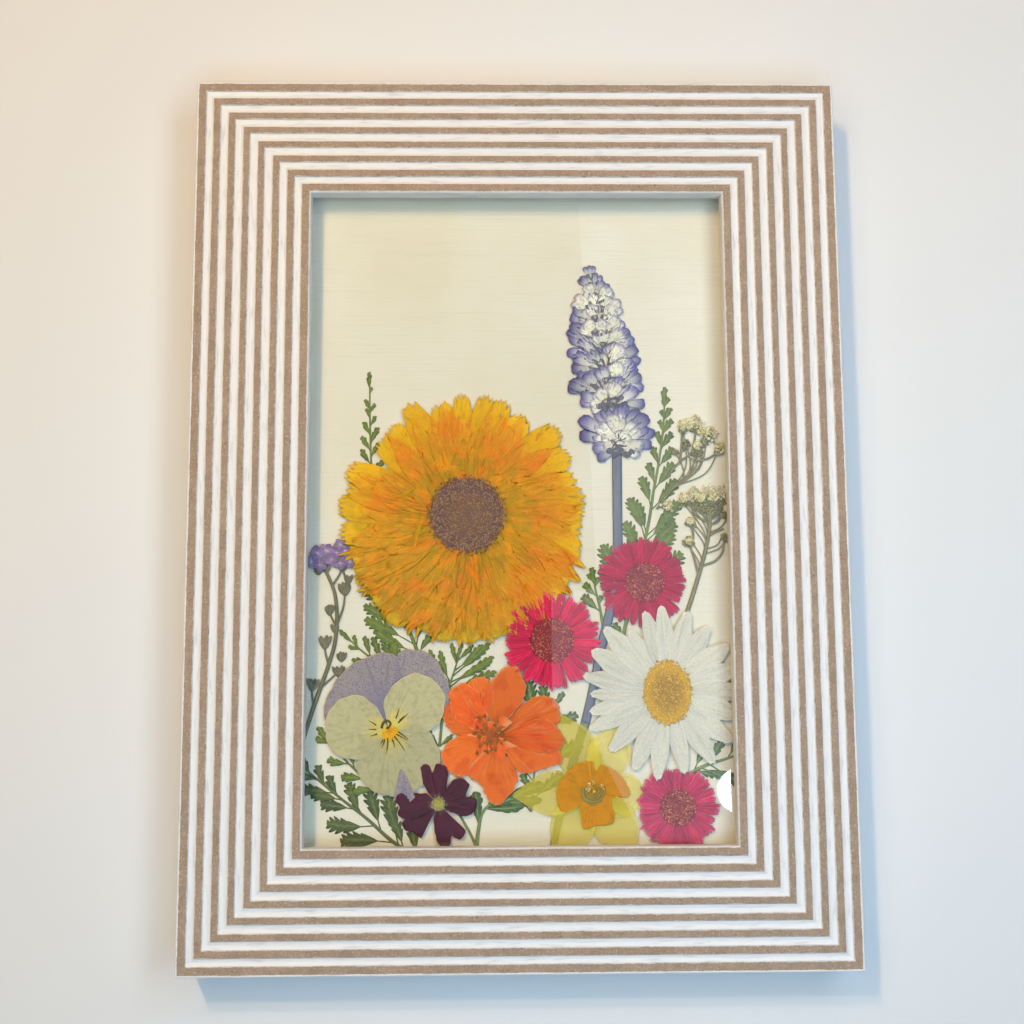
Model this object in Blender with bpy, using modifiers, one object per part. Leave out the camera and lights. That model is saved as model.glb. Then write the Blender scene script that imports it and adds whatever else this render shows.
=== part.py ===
"""A pressed flower frame lying on its back, glass up.

A reeded fibreboard picture frame holds a pane, a sheet of cream paper and a hardboard back. Between
the pane and the paper lie the pressed flowers and leaves, one thin solid for each, stacked in the
order they overlap. X runs across the frame, Y up the picture and Z towards the viewer. The origin is
under the middle of the frame, on the surface that it lies on.
"""

import math

import bmesh
import bpy
from mathutils import Matrix, Vector
from mathutils.geometry import delaunay_2d_cdt

MM = 0.001

# --- driving dimensions ---------------------------------------------------------------------------
OUTER_WIDTH = 144.0 * MM
OUTER_LENGTH = 195.3 * MM
FRAME_DEPTH = 15.5 * MM
RAIL_WIDTH = 26.0 * MM            # from the outer edge to the sight edge
FIRST_RIDGE = 0.55 * MM           # where the rounded outer edge ends and the first ridge starts
RIDGE_PITCH = 3.35 * MM
RIDGE_WIDTH = 1.6 * MM
RIDGE_COUNT = 8
GROOVE_DEPTH = 0.6 * MM
EDGE_ROUND = 0.5 * MM
MITRE_GAP = 0.05 * MM           # glue line

LIP_THICKNESS = 3.5 * MM          # front lip in front of the pane
REBATE_WIDTH = 5.1 * MM
SEAT_GAP = 0.3 * MM               # play between the pane, paper and board and what holds them
PANE_THICKNESS = 2.0 * MM
SPECIMEN_ROOM = 1.7 * MM
PAPER_THICKNESS = 0.4 * MM
BOARD_THICKNESS = 3.0 * MM

POINT_WIDTH = 7.0 * MM            # bendable steel retaining points
POINT_LENGTH = 14.0 * MM
POINT_THICKNESS = 0.5 * MM
POINT_EMBED = 4.0 * MM
SLOT_PLAY = 0.3 * MM

PETAL_THICKNESS = 0.11 * MM       # every pressed petal, leaf and stem
CORNER_RELIEF = 0.06 * MM         # drawn back where two leaflets would only touch at a corner
SMALLEST_STEP = 0.04              # in millimetres; closer corners of overlapping outlines become one
LAYER_PITCH = 0.18 * MM
EYE_RISE = 0.22 * MM              # how far a flower's eye stands above its petals
EYE_SIDES = 14

# --- heights worked out from them -----------------------------------------------------------------
SHOULDER = FRAME_DEPTH - LIP_THICKNESS
PANE_BOTTOM = SHOULDER - SEAT_GAP - PANE_THICKNESS
PAPER_TOP = PANE_BOTTOM - SPECIMEN_ROOM
PAPER_BOTTOM = PAPER_TOP - PAPER_THICKNESS
BOARD_TOP = PAPER_BOTTOM - SEAT_GAP
BOARD_BOTTOM = BOARD_TOP - BOARD_THICKNESS
POINT_TOP = BOARD_BOTTOM - SEAT_GAP

HALF_WIDTH = OUTER_WIDTH / 2
HALF_LENGTH = OUTER_LENGTH / 2
SEAT_HALF_WIDTH = HALF_WIDTH - RAIL_WIDTH + REBATE_WIDTH - SEAT_GAP
SEAT_HALF_LENGTH = HALF_LENGTH - RAIL_WIDTH + REBATE_WIDTH - SEAT_GAP

# Layers between the paper and the pane, from the paper up.
LEAVES, SPRAYS, STEMS, LOW, MIDDLE, HIGH, TOP = range(7)

# --- outlines of petals and leaves ------------------------------------------------------------------
# Half outlines as (share of the length, share of the width) from the base to the tip.
STRAP = ((0.00, 0.18), (0.62, 0.48), (0.92, 0.40), (1.00, 0.00))
SLIM_RAY = ((0.00, 0.25), (0.60, 0.45), (0.93, 0.42), (1.00, 0.00))
BLUNT_RAY = ((0.10, 0.22), (0.72, 0.47), (0.96, 0.40), (1.00, 0.00))
BROAD = ((0.00, 0.12), (0.30, 0.34), (0.62, 0.50), (0.85, 0.44), (0.97, 0.22), (1.00, 0.00))
NOTCHED = ((0.00, 0.14), (0.40, 0.40), (0.72, 0.50), (0.93, 0.42), (1.00, 0.24), (0.84, 0.00))
PLAIN_LEAF = ((0.00, 0.14), (0.50, 0.48), (1.00, 0.00))
LOBED_LEAF = ((0.00, 0.12), (0.48, 0.50), (0.52, 0.28), (0.80, 0.32), (1.00, 0.00))


def blade(base, tip, width, half_outline):
    """Outline of one petal or leaflet between two points, in millimetres."""
    base, tip = Vector(base), Vector(tip)
    along = tip - base
    across = Vector((-along.y, along.x)).normalized() * width
    left = [base + along * s + across * w for s, w in half_outline]
    right = [base + along * s - across * w for s, w in reversed(half_outline) if w > 0]
    return left + right


def oval(centre, radius_x, radius_y, turn=0.0, steps=18):
    """Outline of an ellipse turned by an angle in degrees."""
    turn = math.radians(turn)
    outline = []
    for i in range(steps):
        angle = math.tau * i / steps
        x = radius_x * math.cos(angle)
        y = radius_y * math.sin(angle)
        outline.append(Vector((centre[0] + x * math.cos(turn) - y * math.sin(turn),
                               centre[1] + x * math.sin(turn) + y * math.cos(turn))))
    return outline


def strip(path, width_start, width_end):
    """Outline of a stem that follows a path and tapers along it."""
    points = [Vector(p) for p in path]
    left, right = [], []
    for i, point in enumerate(points):
        ahead = points[min(i + 1, len(points) - 1)] - points[max(i - 1, 0)]
        share = i / (len(points) - 1)
        half = (width_start + (width_end - width_start) * share) / 2
        side = Vector((-ahead.y, ahead.x)).normalized() * half
        left.append(point + side)
        right.append(point - side)
    return left + right[::-1]


def point_on(path, distance):
    """The point at a distance along a path."""
    points = [Vector(p) for p in path]
    for start, end in zip(points, points[1:]):
        step = (end - start).length
        if distance <= step:
            return start.lerp(end, max(distance, 0.0) / step)
        distance -= step
    return points[-1]


def joint_for(path, tip, lean):
    """Where a leaflet with this tip leaves the path, if it leans forward by an angle in degrees."""
    tip = Vector(tip)
    points = [Vector(p) for p in path]
    nearest, reach, travelled = 0.0, math.inf, 0.0
    for start, end in zip(points, points[1:]):
        run = end - start
        share = min(max((tip - start).dot(run) / run.length_squared, 0.0), 1.0)
        gap = (start + run * share - tip).length
        if gap < reach:
            nearest, reach = travelled + share * run.length, gap
        travelled += run.length
    return point_on(path, nearest - reach / math.tan(math.radians(lean)))


def frond(spine, tips, slimness=0.36, lean=38.0, stem=0.6, half_outline=PLAIN_LEAF):
    """Outlines of a stem and its leaflets. Only the leaflets' tips are given."""
    outlines = [strip(spine, stem, stem * 0.5)]
    for tip in tips:
        base = joint_for(spine, tip, lean)
        width = max((Vector(tip) - base).length * slimness, 0.7)
        outlines.append(blade(base, tip, width, half_outline))
    return outlines


def rosette(centre, petals, half_outline, inset=0.0):
    """Outlines of petals round a centre. Each petal is (angle in degrees, reach, width)."""
    outlines = []
    for angle, reach, width in petals:
        ray = Vector((math.cos(math.radians(angle)), math.sin(math.radians(angle))))
        base = Vector(centre) + ray * inset
        outlines.append(blade(base, Vector(centre) + ray * reach, width, half_outline))
    return outlines


def even_petals(count, first, reach, width, uneven=0.0):
    """Petals at even angles whose reach swells and shrinks gently, as on a pressed daisy."""
    petals = []
    for i in range(count):
        swing = math.sin(i * 2.4) * uneven
        petals.append((first + 360.0 * i / count, reach + swing, width))
    return petals


# --- scene, materials and objects ---------------------------------------------------------------------
def clear_scene():
    for item in list(bpy.data.objects):
        bpy.data.objects.remove(item, do_unlink=True)


def new_collection(name):
    group = bpy.data.collections.new(name)
    bpy.context.scene.collection.children.link(group)
    return group


def finish(name, colour, roughness, metallic=0.0, transmission=0.0):
    """A Principled material of one colour."""
    made = bpy.data.materials.new(name)
    made.use_nodes = True
    shader = made.node_tree.nodes["Principled BSDF"]
    shader.inputs["Base Color"].default_value = (*colour, 1.0)
    shader.inputs["Roughness"].default_value = roughness
    shader.inputs["Metallic"].default_value = metallic
    shader.inputs["Transmission Weight"].default_value = transmission
    made.diffuse_color = (*colour, 1.0)
    return made


def place(item, name, group, material=None):
    """Names an object, moves it to its collection and gives it its material."""
    item.name = name
    item.data.name = name
    for old in list(item.users_collection):
        old.objects.unlink(item)
    group.objects.link(item)
    if material:
        item.data.materials.clear()
        item.data.materials.append(material)
    return item


def as_cutter(item):
    item.hide_render = True
    item.display_type = "WIRE"


def block(name, half_x, half_y, bottom, top, group, material=None):
    """A box round the frame's middle line, given by its half sizes and heights."""
    bpy.ops.mesh.primitive_cube_add(size=1.0, location=(0.0, 0.0, (bottom + top) / 2))
    item = bpy.context.object
    item.scale = (2 * half_x, 2 * half_y, top - bottom)
    bpy.ops.object.transform_apply(location=False, rotation=False, scale=True)
    return place(item, name, group, material)


def ease_edges(item, width):
    bevel = item.modifiers.new("eased edges", "BEVEL")
    bevel.width = width
    bevel.segments = 1


def boolean(item, other, operation):
    cut = item.modifiers.new(other.name, "BOOLEAN")
    cut.object = other
    cut.operation = operation
    cut.solver = "EXACT"


def mesh_from_curve(outline, half_extrude):
    """A closed mesh from a flat outline extruded both ways along Z."""
    curve = bpy.data.curves.new("outline", "CURVE")
    curve.dimensions = "2D"
    curve.fill_mode = "BOTH"
    curve.extrude = half_extrude
    curve.resolution_u = 1
    curve.render_resolution_u = 0
    spline = curve.splines.new("POLY")
    spline.points.add(len(outline) - 1)
    for target, (x, y) in zip(spline.points, outline):
        target.co = (x, y, 0.0, 1.0)
    spline.use_cyclic_u = True
    guide = bpy.data.objects.new("outline", curve)
    bpy.context.scene.collection.objects.link(guide)
    bpy.context.view_layer.update()
    evaluated = guide.evaluated_get(bpy.context.evaluated_depsgraph_get())
    mesh = bpy.data.meshes.new_from_object(evaluated)
    bpy.data.objects.remove(guide, do_unlink=True)
    shape = bmesh.new()
    shape.from_mesh(mesh)
    bmesh.ops.remove_doubles(shape, verts=shape.verts, dist=0.001 * MM)
    bmesh.ops.recalc_face_normals(shape, faces=shape.faces)
    shape.to_mesh(mesh)
    shape.free()
    return mesh


# --- the frame ------------------------------------------------------------------------------------------
def rail_section():
    """Section of the moulding as (distance in from the outer edge, height)."""
    section = [(0.0, 0.0), (0.0, FRAME_DEPTH - EDGE_ROUND), (EDGE_ROUND * 0.3,
                                                             FRAME_DEPTH - EDGE_ROUND * 0.3)]
    groove_width = RIDGE_PITCH - RIDGE_WIDTH
    for ridge in range(RIDGE_COUNT):
        start = FIRST_RIDGE + ridge * RIDGE_PITCH
        section.append((start, FRAME_DEPTH))
        section.append((start + RIDGE_WIDTH, FRAME_DEPTH))
        if ridge < RIDGE_COUNT - 1:
            for share, depth_share in ((0.22, 0.62), (0.5, 1.0), (0.78, 0.62)):
                across = start + RIDGE_WIDTH + share * groove_width
                section.append((across, FRAME_DEPTH - depth_share * GROOVE_DEPTH))
    section.append((RAIL_WIDTH, FRAME_DEPTH - EDGE_ROUND * 0.7))
    section.append((RAIL_WIDTH, SHOULDER))
    section.append((RAIL_WIDTH - REBATE_WIDTH, SHOULDER))
    section.append((RAIL_WIDTH - REBATE_WIDTH, 0.0))
    return section


def mitred_rail(name, length, quarter_turns, group, material):
    """One rail: the section extruded, mitred at both ends and stood at its side of the frame."""
    mesh = mesh_from_curve(rail_section(), length / 2)
    half_gap = MITRE_GAP / 2 * math.sqrt(2)
    for vertex in mesh.vertices:
        vertex.co.z -= math.copysign(vertex.co.x + half_gap, vertex.co.z)
    # The section's across, height and length become Y, Z and X on the bottom rail.
    stand = Matrix(((0, 0, 1, 0), (1, 0, 0, 0), (0, 1, 0, 0), (0, 0, 0, 1)))
    offset = HALF_LENGTH if quarter_turns % 2 == 0 else HALF_WIDTH
    turn = Matrix.Rotation(quarter_turns * math.pi / 2, 4, "Z")
    mesh.transform(turn @ Matrix.Translation((0, -offset, 0)) @ stand)
    mesh.update()
    item = bpy.data.objects.new(name, mesh)
    bpy.context.scene.collection.objects.link(item)
    return place(item, name, group, material)


def retaining_point(name, rail, side_angle, along, group, cutters, material):
    """A steel point in its slot in a rail, lying over the back board. side_angle is the rail's side."""
    length_offset = HALF_LENGTH if side_angle % 180 else HALF_WIDTH
    wall = length_offset - RAIL_WIDTH + REBATE_WIDTH
    half = POINT_WIDTH / 2
    tip = wall - (POINT_LENGTH - POINT_EMBED)
    outer = wall + POINT_EMBED
    outline = [(outer, -half), (outer, half), (tip + half, half), (tip, half * 0.3),
               (tip, -half * 0.3), (tip + half, -half)]
    turn = Matrix.Rotation(math.radians(side_angle), 4, "Z")
    slide = Matrix.Translation((0, along, 0))
    mesh = mesh_from_curve(outline, POINT_THICKNESS / 2)
    mesh.transform(turn @ slide @ Matrix.Translation((0, 0, POINT_TOP - POINT_THICKNESS / 2)))
    item = bpy.data.objects.new(name, mesh)
    bpy.context.scene.collection.objects.link(item)
    place(item, name, group, material)
    slot = block(name + "_slot", POINT_EMBED / 2 + SLOT_PLAY, half + SLOT_PLAY,
                 POINT_TOP - POINT_THICKNESS - SLOT_PLAY, POINT_TOP + SLOT_PLAY, cutters)
    slot.data.transform(turn @ slide @ Matrix.Translation((wall + POINT_EMBED / 2, 0, 0)))
    as_cutter(slot)
    boolean(rail, slot, "DIFFERENCE")


def build_frame(group, cutters):
    moulding = finish("reeded fibreboard", (0.62, 0.50, 0.40), 0.7)
    rails = {}
    for name, length, turns in (("rail_bottom", OUTER_WIDTH, 0), ("rail_right", OUTER_LENGTH, 1),
                                ("rail_top", OUTER_WIDTH, 2), ("rail_left", OUTER_LENGTH, 3)):
        rails[name] = mitred_rail(name, length, turns, group, moulding)
    clear = finish("clear glass", (0.95, 0.98, 0.97), 0.03, transmission=1.0)
    pane = block("glass_pane", SEAT_HALF_WIDTH, SEAT_HALF_LENGTH, PANE_BOTTOM,
                 PANE_BOTTOM + PANE_THICKNESS, group, clear)
    ease_edges(pane, 0.2 * MM)
    block("backing_sheet", SEAT_HALF_WIDTH, SEAT_HALF_LENGTH, PAPER_BOTTOM, PAPER_TOP,
          group, finish("cream laid paper", (0.86, 0.83, 0.72), 0.85))
    board = block("back_board", SEAT_HALF_WIDTH, SEAT_HALF_LENGTH, BOARD_BOTTOM, BOARD_TOP,
                  group, finish("hardboard", (0.36, 0.24, 0.15), 0.6))
    ease_edges(board, 0.3 * MM)
    steel = finish("blackened steel", (0.18, 0.18, 0.19), 0.4, metallic=1.0)
    from_middle = OUTER_LENGTH / 5
    sites = (("rail_right", 0, from_middle), ("rail_right", 0, -from_middle),
             ("rail_left", 180, from_middle), ("rail_left", 180, -from_middle),
             ("rail_top", 90, 0.0), ("rail_bottom", 270, 0.0))
    for number, (rail, side_angle, along) in enumerate(sites, start=1):
        retaining_point(f"retaining_point_{number}", rails[rail], side_angle, along, group, cutters,
                        steel)


# --- pressed specimens ----------------------------------------------------------------------------------
def part_touching_corners(shape):
    """Where two areas only touch at a corner, gives each its own corner, drawn back a little."""
    for corner in list(shape.verts):
        rim = [edge for edge in corner.link_edges if edge.is_boundary]
        if len(rim) > 2:
            for own in bmesh.utils.vert_separate(corner, rim):
                middle = sum((face.calc_center_median() for face in own.link_faces), Vector())
                middle /= len(own.link_faces)
                own.co += (middle - own.co).normalized() * CORNER_RELIEF


def flat_mesh(outlines, height):
    """One flat open surface that covers all the outlines, given in millimetres."""
    points, loops = [], []
    for outline in outlines:
        area = sum(a.x * b.y - b.x * a.y for a, b in zip(outline, outline[1:] + outline[:1]))
        ring = outline if area > 0 else outline[::-1]
        loops.append(list(range(len(points), len(points) + len(ring))))
        points.extend(ring)
    joined, _, faces, _, _, sources = delaunay_2d_cdt(points, [], loops, 1, SMALLEST_STEP)
    shape = bmesh.new()
    corners = [shape.verts.new((p.x * MM, p.y * MM, height)) for p in joined]
    for face, source in zip(faces, sources):
        if source:
            shape.faces.new([corners[i] for i in face])
    loose = [v for v in shape.verts if not v.link_faces]
    bmesh.ops.delete(shape, geom=loose, context="VERTS")
    bmesh.ops.dissolve_limit(shape, angle_limit=math.radians(1.0), verts=shape.verts, edges=shape.edges)
    part_touching_corners(shape)
    for face in shape.faces:
        if face.normal.z < 0:
            face.normal_flip()
    mesh = bpy.data.meshes.new("pressed")
    shape.to_mesh(mesh)
    shape.free()
    return mesh


def pressed(name, outlines, layer, group, material, thickness=PETAL_THICKNESS, lift=0.0):
    """A pressed petal whorl, leaf or sprig: a flat surface with the thickness of a dried petal."""
    height = PAPER_TOP + LAYER_PITCH * (layer + 0.5) + lift
    item = bpy.data.objects.new(name, flat_mesh(outlines, height))
    bpy.context.scene.collection.objects.link(item)
    place(item, name, group, material)
    body = item.modifiers.new("thickness", "SOLIDIFY")
    body.thickness = thickness
    body.offset = 1.0
    return item


def add_eye(flower, centre, radius_x, radius_y, layer, cutters):
    """Joins a low button, the flower's eye, to its petals."""
    bottom = PAPER_TOP + LAYER_PITCH * (layer + 0.5) + PETAL_THICKNESS / 2
    height = PETAL_THICKNESS / 2 + EYE_RISE
    bpy.ops.mesh.primitive_cone_add(vertices=EYE_SIDES, radius1=1.0, radius2=0.86, depth=height,
                                    location=(centre[0] * MM, centre[1] * MM, bottom + height / 2))
    eye = bpy.context.object
    eye.scale = (radius_x * MM, radius_y * MM, 1.0)
    bpy.ops.object.transform_apply(location=False, rotation=False, scale=True)
    place(eye, flower.name + "_eye", cutters)
    as_cutter(eye)
    boolean(flower, eye, "UNION")


def build_leaves(group):
    green = finish("pressed green leaf", (0.24, 0.32, 0.12), 0.7)
    fern_left_spine = ((-22.0, -31.0), (-25.5, -22.0), (-29.0, -12.0), (-31.6, 0.0), (-32.6, 10.0),
                       (-33.0, 20.0), (-33.2, 32.2))
    fern_left_tips = ((-34.1, 25.9), (-34.5, 20.8), (-34.9, 17.5), (-34.9, 14.6), (-35.6, 9.0),
                      (-36.2, 2.0), (-35.8, -5.0), (-34.8, -12.0), (-34.3, -17.2), (-34.1, -20.3),
                      (-33.9, -23.3), (-31.8, -25.7), (-31.9, 24.9), (-31.8, 22.1), (-31.1, 19.5),
                      (-30.1, 12.0), (-28.3, 6.0), (-26.6, -1.0), (-24.4, -8.0), (-22.6, -15.0),
                      (-20.6, -21.0), (-19.0, -26.5))
    pressed("fern_left", frond(fern_left_spine, fern_left_tips, slimness=0.3), LEAVES, group, green)

    fern_right_spine = ((22.5, -29.0), (24.3, -22.0), (26.6, -14.0), (28.2, -6.0), (29.3, -1.0),
                        (30.3, 5.0), (31.5, 11.0), (32.7, 19.0), (33.4, 28.6))
    fern_right_tips = ((32.5, 24.0), (32.2, 22.2), (31.9, 20.2), (30.3, 15.0), (29.2, 11.3), (27.5, 8.2),
                       (26.5, 2.6), (24.7, 3.4), (23.8, -1.9), (18.8, -7.0), (18.7, -11.5), (21.0, -24.3),
                       (34.5, 24.7), (34.8, 22.5), (34.9, 20.4), (34.5, 18.3), (34.8, 14.8), (34.9, 11.0),
                       (35.4, 7.4), (35.6, 2.4), (35.1, -2.2), (34.6, -5.0), (36.4, -9.0))
    pressed("fern_right", frond(fern_right_spine, fern_right_tips, slimness=0.3), LEAVES, group, green)

    lower_left_spine = ((-22.0, -74.5), (-27.5, -71.0), (-33.0, -66.2), (-38.5, -62.0), (-46.0, -56.0),
                        (-50.0, -52.8))
    lower_left_tips = ((-47.0, -53.4), (-43.8, -54.8), (-41.3, -57.0), (-37.0, -58.6), (-33.0, -60.3),
                       (-28.6, -61.5), (-26.6, -65.5), (-23.2, -67.0), (-48.5, -59.5), (-45.4, -60.1),
                       (-43.1, -63.1), (-41.6, -67.1), (-38.6, -71.0), (-34.0, -74.6))
    pressed("frond_lower_left", frond(lower_left_spine, lower_left_tips, slimness=0.2, lean=24.0,
                                      stem=0.9), LEAVES, group, green)

    under_orange_spine = ((2.4, -65.0), (3.4, -55.0), (5.0, -47.0), (7.6, -42.0), (9.8, -39.4))
    under_orange_tips = ((2.0, -36.8), (5.0, -38.0), (12.8, -44.4), (13.6, -50.5), (-2.4, -50.8),
                         (0.4, -57.0), (-0.8, -60.2), (9.4, -57.0))
    pressed("leaf_under_orange", frond(under_orange_spine, under_orange_tips, half_outline=LOBED_LEAF),
            LEAVES, group, green)

    right_edge_spine = ((36.8, -57.3), (40.0, -55.6), (45.0, -54.0), (50.2, -52.3))
    right_edge_tips = ((41.4, -50.2), (44.4, -49.8), (48.6, -48.4), (42.4, -57.6), (46.0, -59.0),
                       (49.6, -59.8))
    pressed("leaf_right_edge", frond(right_edge_spine, right_edge_tips, slimness=0.5, stem=0.9,
                                     half_outline=LOBED_LEAF), LEAVES, group, green)

    spray_left_spine = ((-24.0, -36.6), (-29.0, -33.4), (-33.4, -31.0), (-39.4, -25.6))
    spray_left_tips = ((-36.2, -26.8), (-33.9, -27.0), (-32.1, -27.2), (-27.8, -28.2), (-37.4, -29.3),
                       (-36.6, -32.2))
    pressed("fern_spray_left", frond(spray_left_spine, spray_left_tips, slimness=0.3), SPRAYS, group,
            green)

    spray_centre_spine = ((-17.4, -51.0), (-16.6, -44.0), (-15.2, -38.0), (-13.8, -33.5), (-12.3, -28.8))
    spray_centre_tips = ((-14.8, -28.6), (-17.3, -30.2), (-19.6, -33.0), (-19.9, -47.2), (-8.0, -28.9),
                         (-6.3, -28.6), (-6.2, -33.0), (-4.9, -34.9), (-14.4, -48.4))
    pressed("fern_spray_centre", frond(spray_centre_spine, spray_centre_tips, slimness=0.3), SPRAYS,
            group, green)

    viola_leaf_spine = ((-31.0, -60.0), (-35.0, -56.4), (-39.4, -52.0), (-43.8, -46.6))
    viola_leaf_tips = ((-44.2, -49.2), (-41.6, -53.6), (-38.6, -57.4), (-36.0, -60.6), (-40.6, -46.6))
    pressed("leaf_left_of_viola", frond(viola_leaf_spine, viola_leaf_tips, slimness=0.45,
                                        half_outline=LOBED_LEAF), SPRAYS, group, green)

    stem_leaf_spine = ((18.7, -26.0), (17.9, -21.0), (17.0, -17.0), (16.3, -12.1))
    stem_leaf_tips = ((14.2, -18.3), (14.6, -15.6), (17.7, -14.6), (18.3, -18.4))
    pressed("leaf_by_stem", frond(stem_leaf_spine, stem_leaf_tips, slimness=0.42, stem=0.9), SPRAYS,
            group, green)

    sprig_main = ((-9.6, -74.6), (-9.0, -69.0), (-8.1, -65.2), (-6.0, -62.9))
    sprig = [strip(sprig_main, 0.9, 0.5),
             strip(((-9.5, -72.0), (-11.0, -69.0), (-13.2, -65.2)), 0.6, 0.5)]
    for base, tip, width in (((-8.9, -67.4), (-9.6, -60.6), 2.6), ((-7.0, -63.8), (-4.6, -60.4), 2.2),
                             ((-6.9, -63.9), (0.6, -61.2), 2.6), ((-7.2, -64.2), (0.9, -63.8), 1.8)):
        sprig.append(blade(base, tip, width, LOBED_LEAF))
    pressed("sprig_bottom", sprig, SPRAYS, group, green)


def build_sage_spike(group):
    """A dense spike of two-lipped florets with a separate lower whorl, on a square stem."""
    blue = finish("pressed sage floret", (0.42, 0.42, 0.62), 0.75)
    florets = ((16.3, 55.2, 1.6), (14.9, 52.4, 1.1), (18.2, 53.3, 1.7), (20.4, 51.3, 1.5),
               (14.7, 49.3, 1.5), (21.4, 49.0, 1.3), (13.9, 46.0, 1.7), (22.4, 47.0, 1.5),
               (14.0, 42.6, 1.9), (22.9, 44.2, 1.5), (13.1, 39.1, 2.0), (24.9, 41.4, 1.8),
               (26.4, 39.0, 1.5), (14.1, 34.6, 2.0), (25.7, 36.9, 1.8), (14.2, 31.6, 1.7),
               (26.4, 33.7, 1.7), (13.3, 29.1, 2.0), (26.7, 30.8, 1.9), (15.2, 26.3, 1.8),
               (26.4, 27.7, 1.8), (25.2, 26.2, 1.6), (14.9, 19.4, 2.0), (17.0, 16.8, 1.8),
               (17.5, 14.3, 1.6), (20.4, 21.8, 1.8), (23.0, 23.6, 1.8), (26.0, 20.9, 1.9),
               (28.4, 22.0, 1.6), (28.4, 18.6, 1.9), (27.2, 15.8, 1.5), (24.4, 13.9, 1.5), (21.0, 14.8,
                                                                                            1.8))
    outlines = [oval((x, y), r, r, steps=6) for x, y, r in florets]
    for centre, radius_x, radius_y in (((17.3, 51.0), 2.8, 4.0), ((18.6, 45.0), 4.8, 4.0),
                                       ((19.6, 38.5), 6.2, 5.0), ((20.2, 32.0), 6.4, 5.0),
                                       ((20.4, 27.6), 5.6, 3.4), ((22.2, 18.2), 5.4, 4.0)):
        outlines.append(oval(centre, radius_x, radius_y, steps=12))
    stem = ((21.6, 26.0), (22.0, 14.0), (22.1, 0.0), (21.9, -11.0), (20.3, -21.0), (18.3, -29.0),
            (15.9, -40.0), (13.9, -47.0), (10.0, -60.0), (7.0, -73.0))
    outlines.append(strip(stem, 2.1, 2.0))
    pressed("sage_spike", outlines, STEMS, group, blue)


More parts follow.
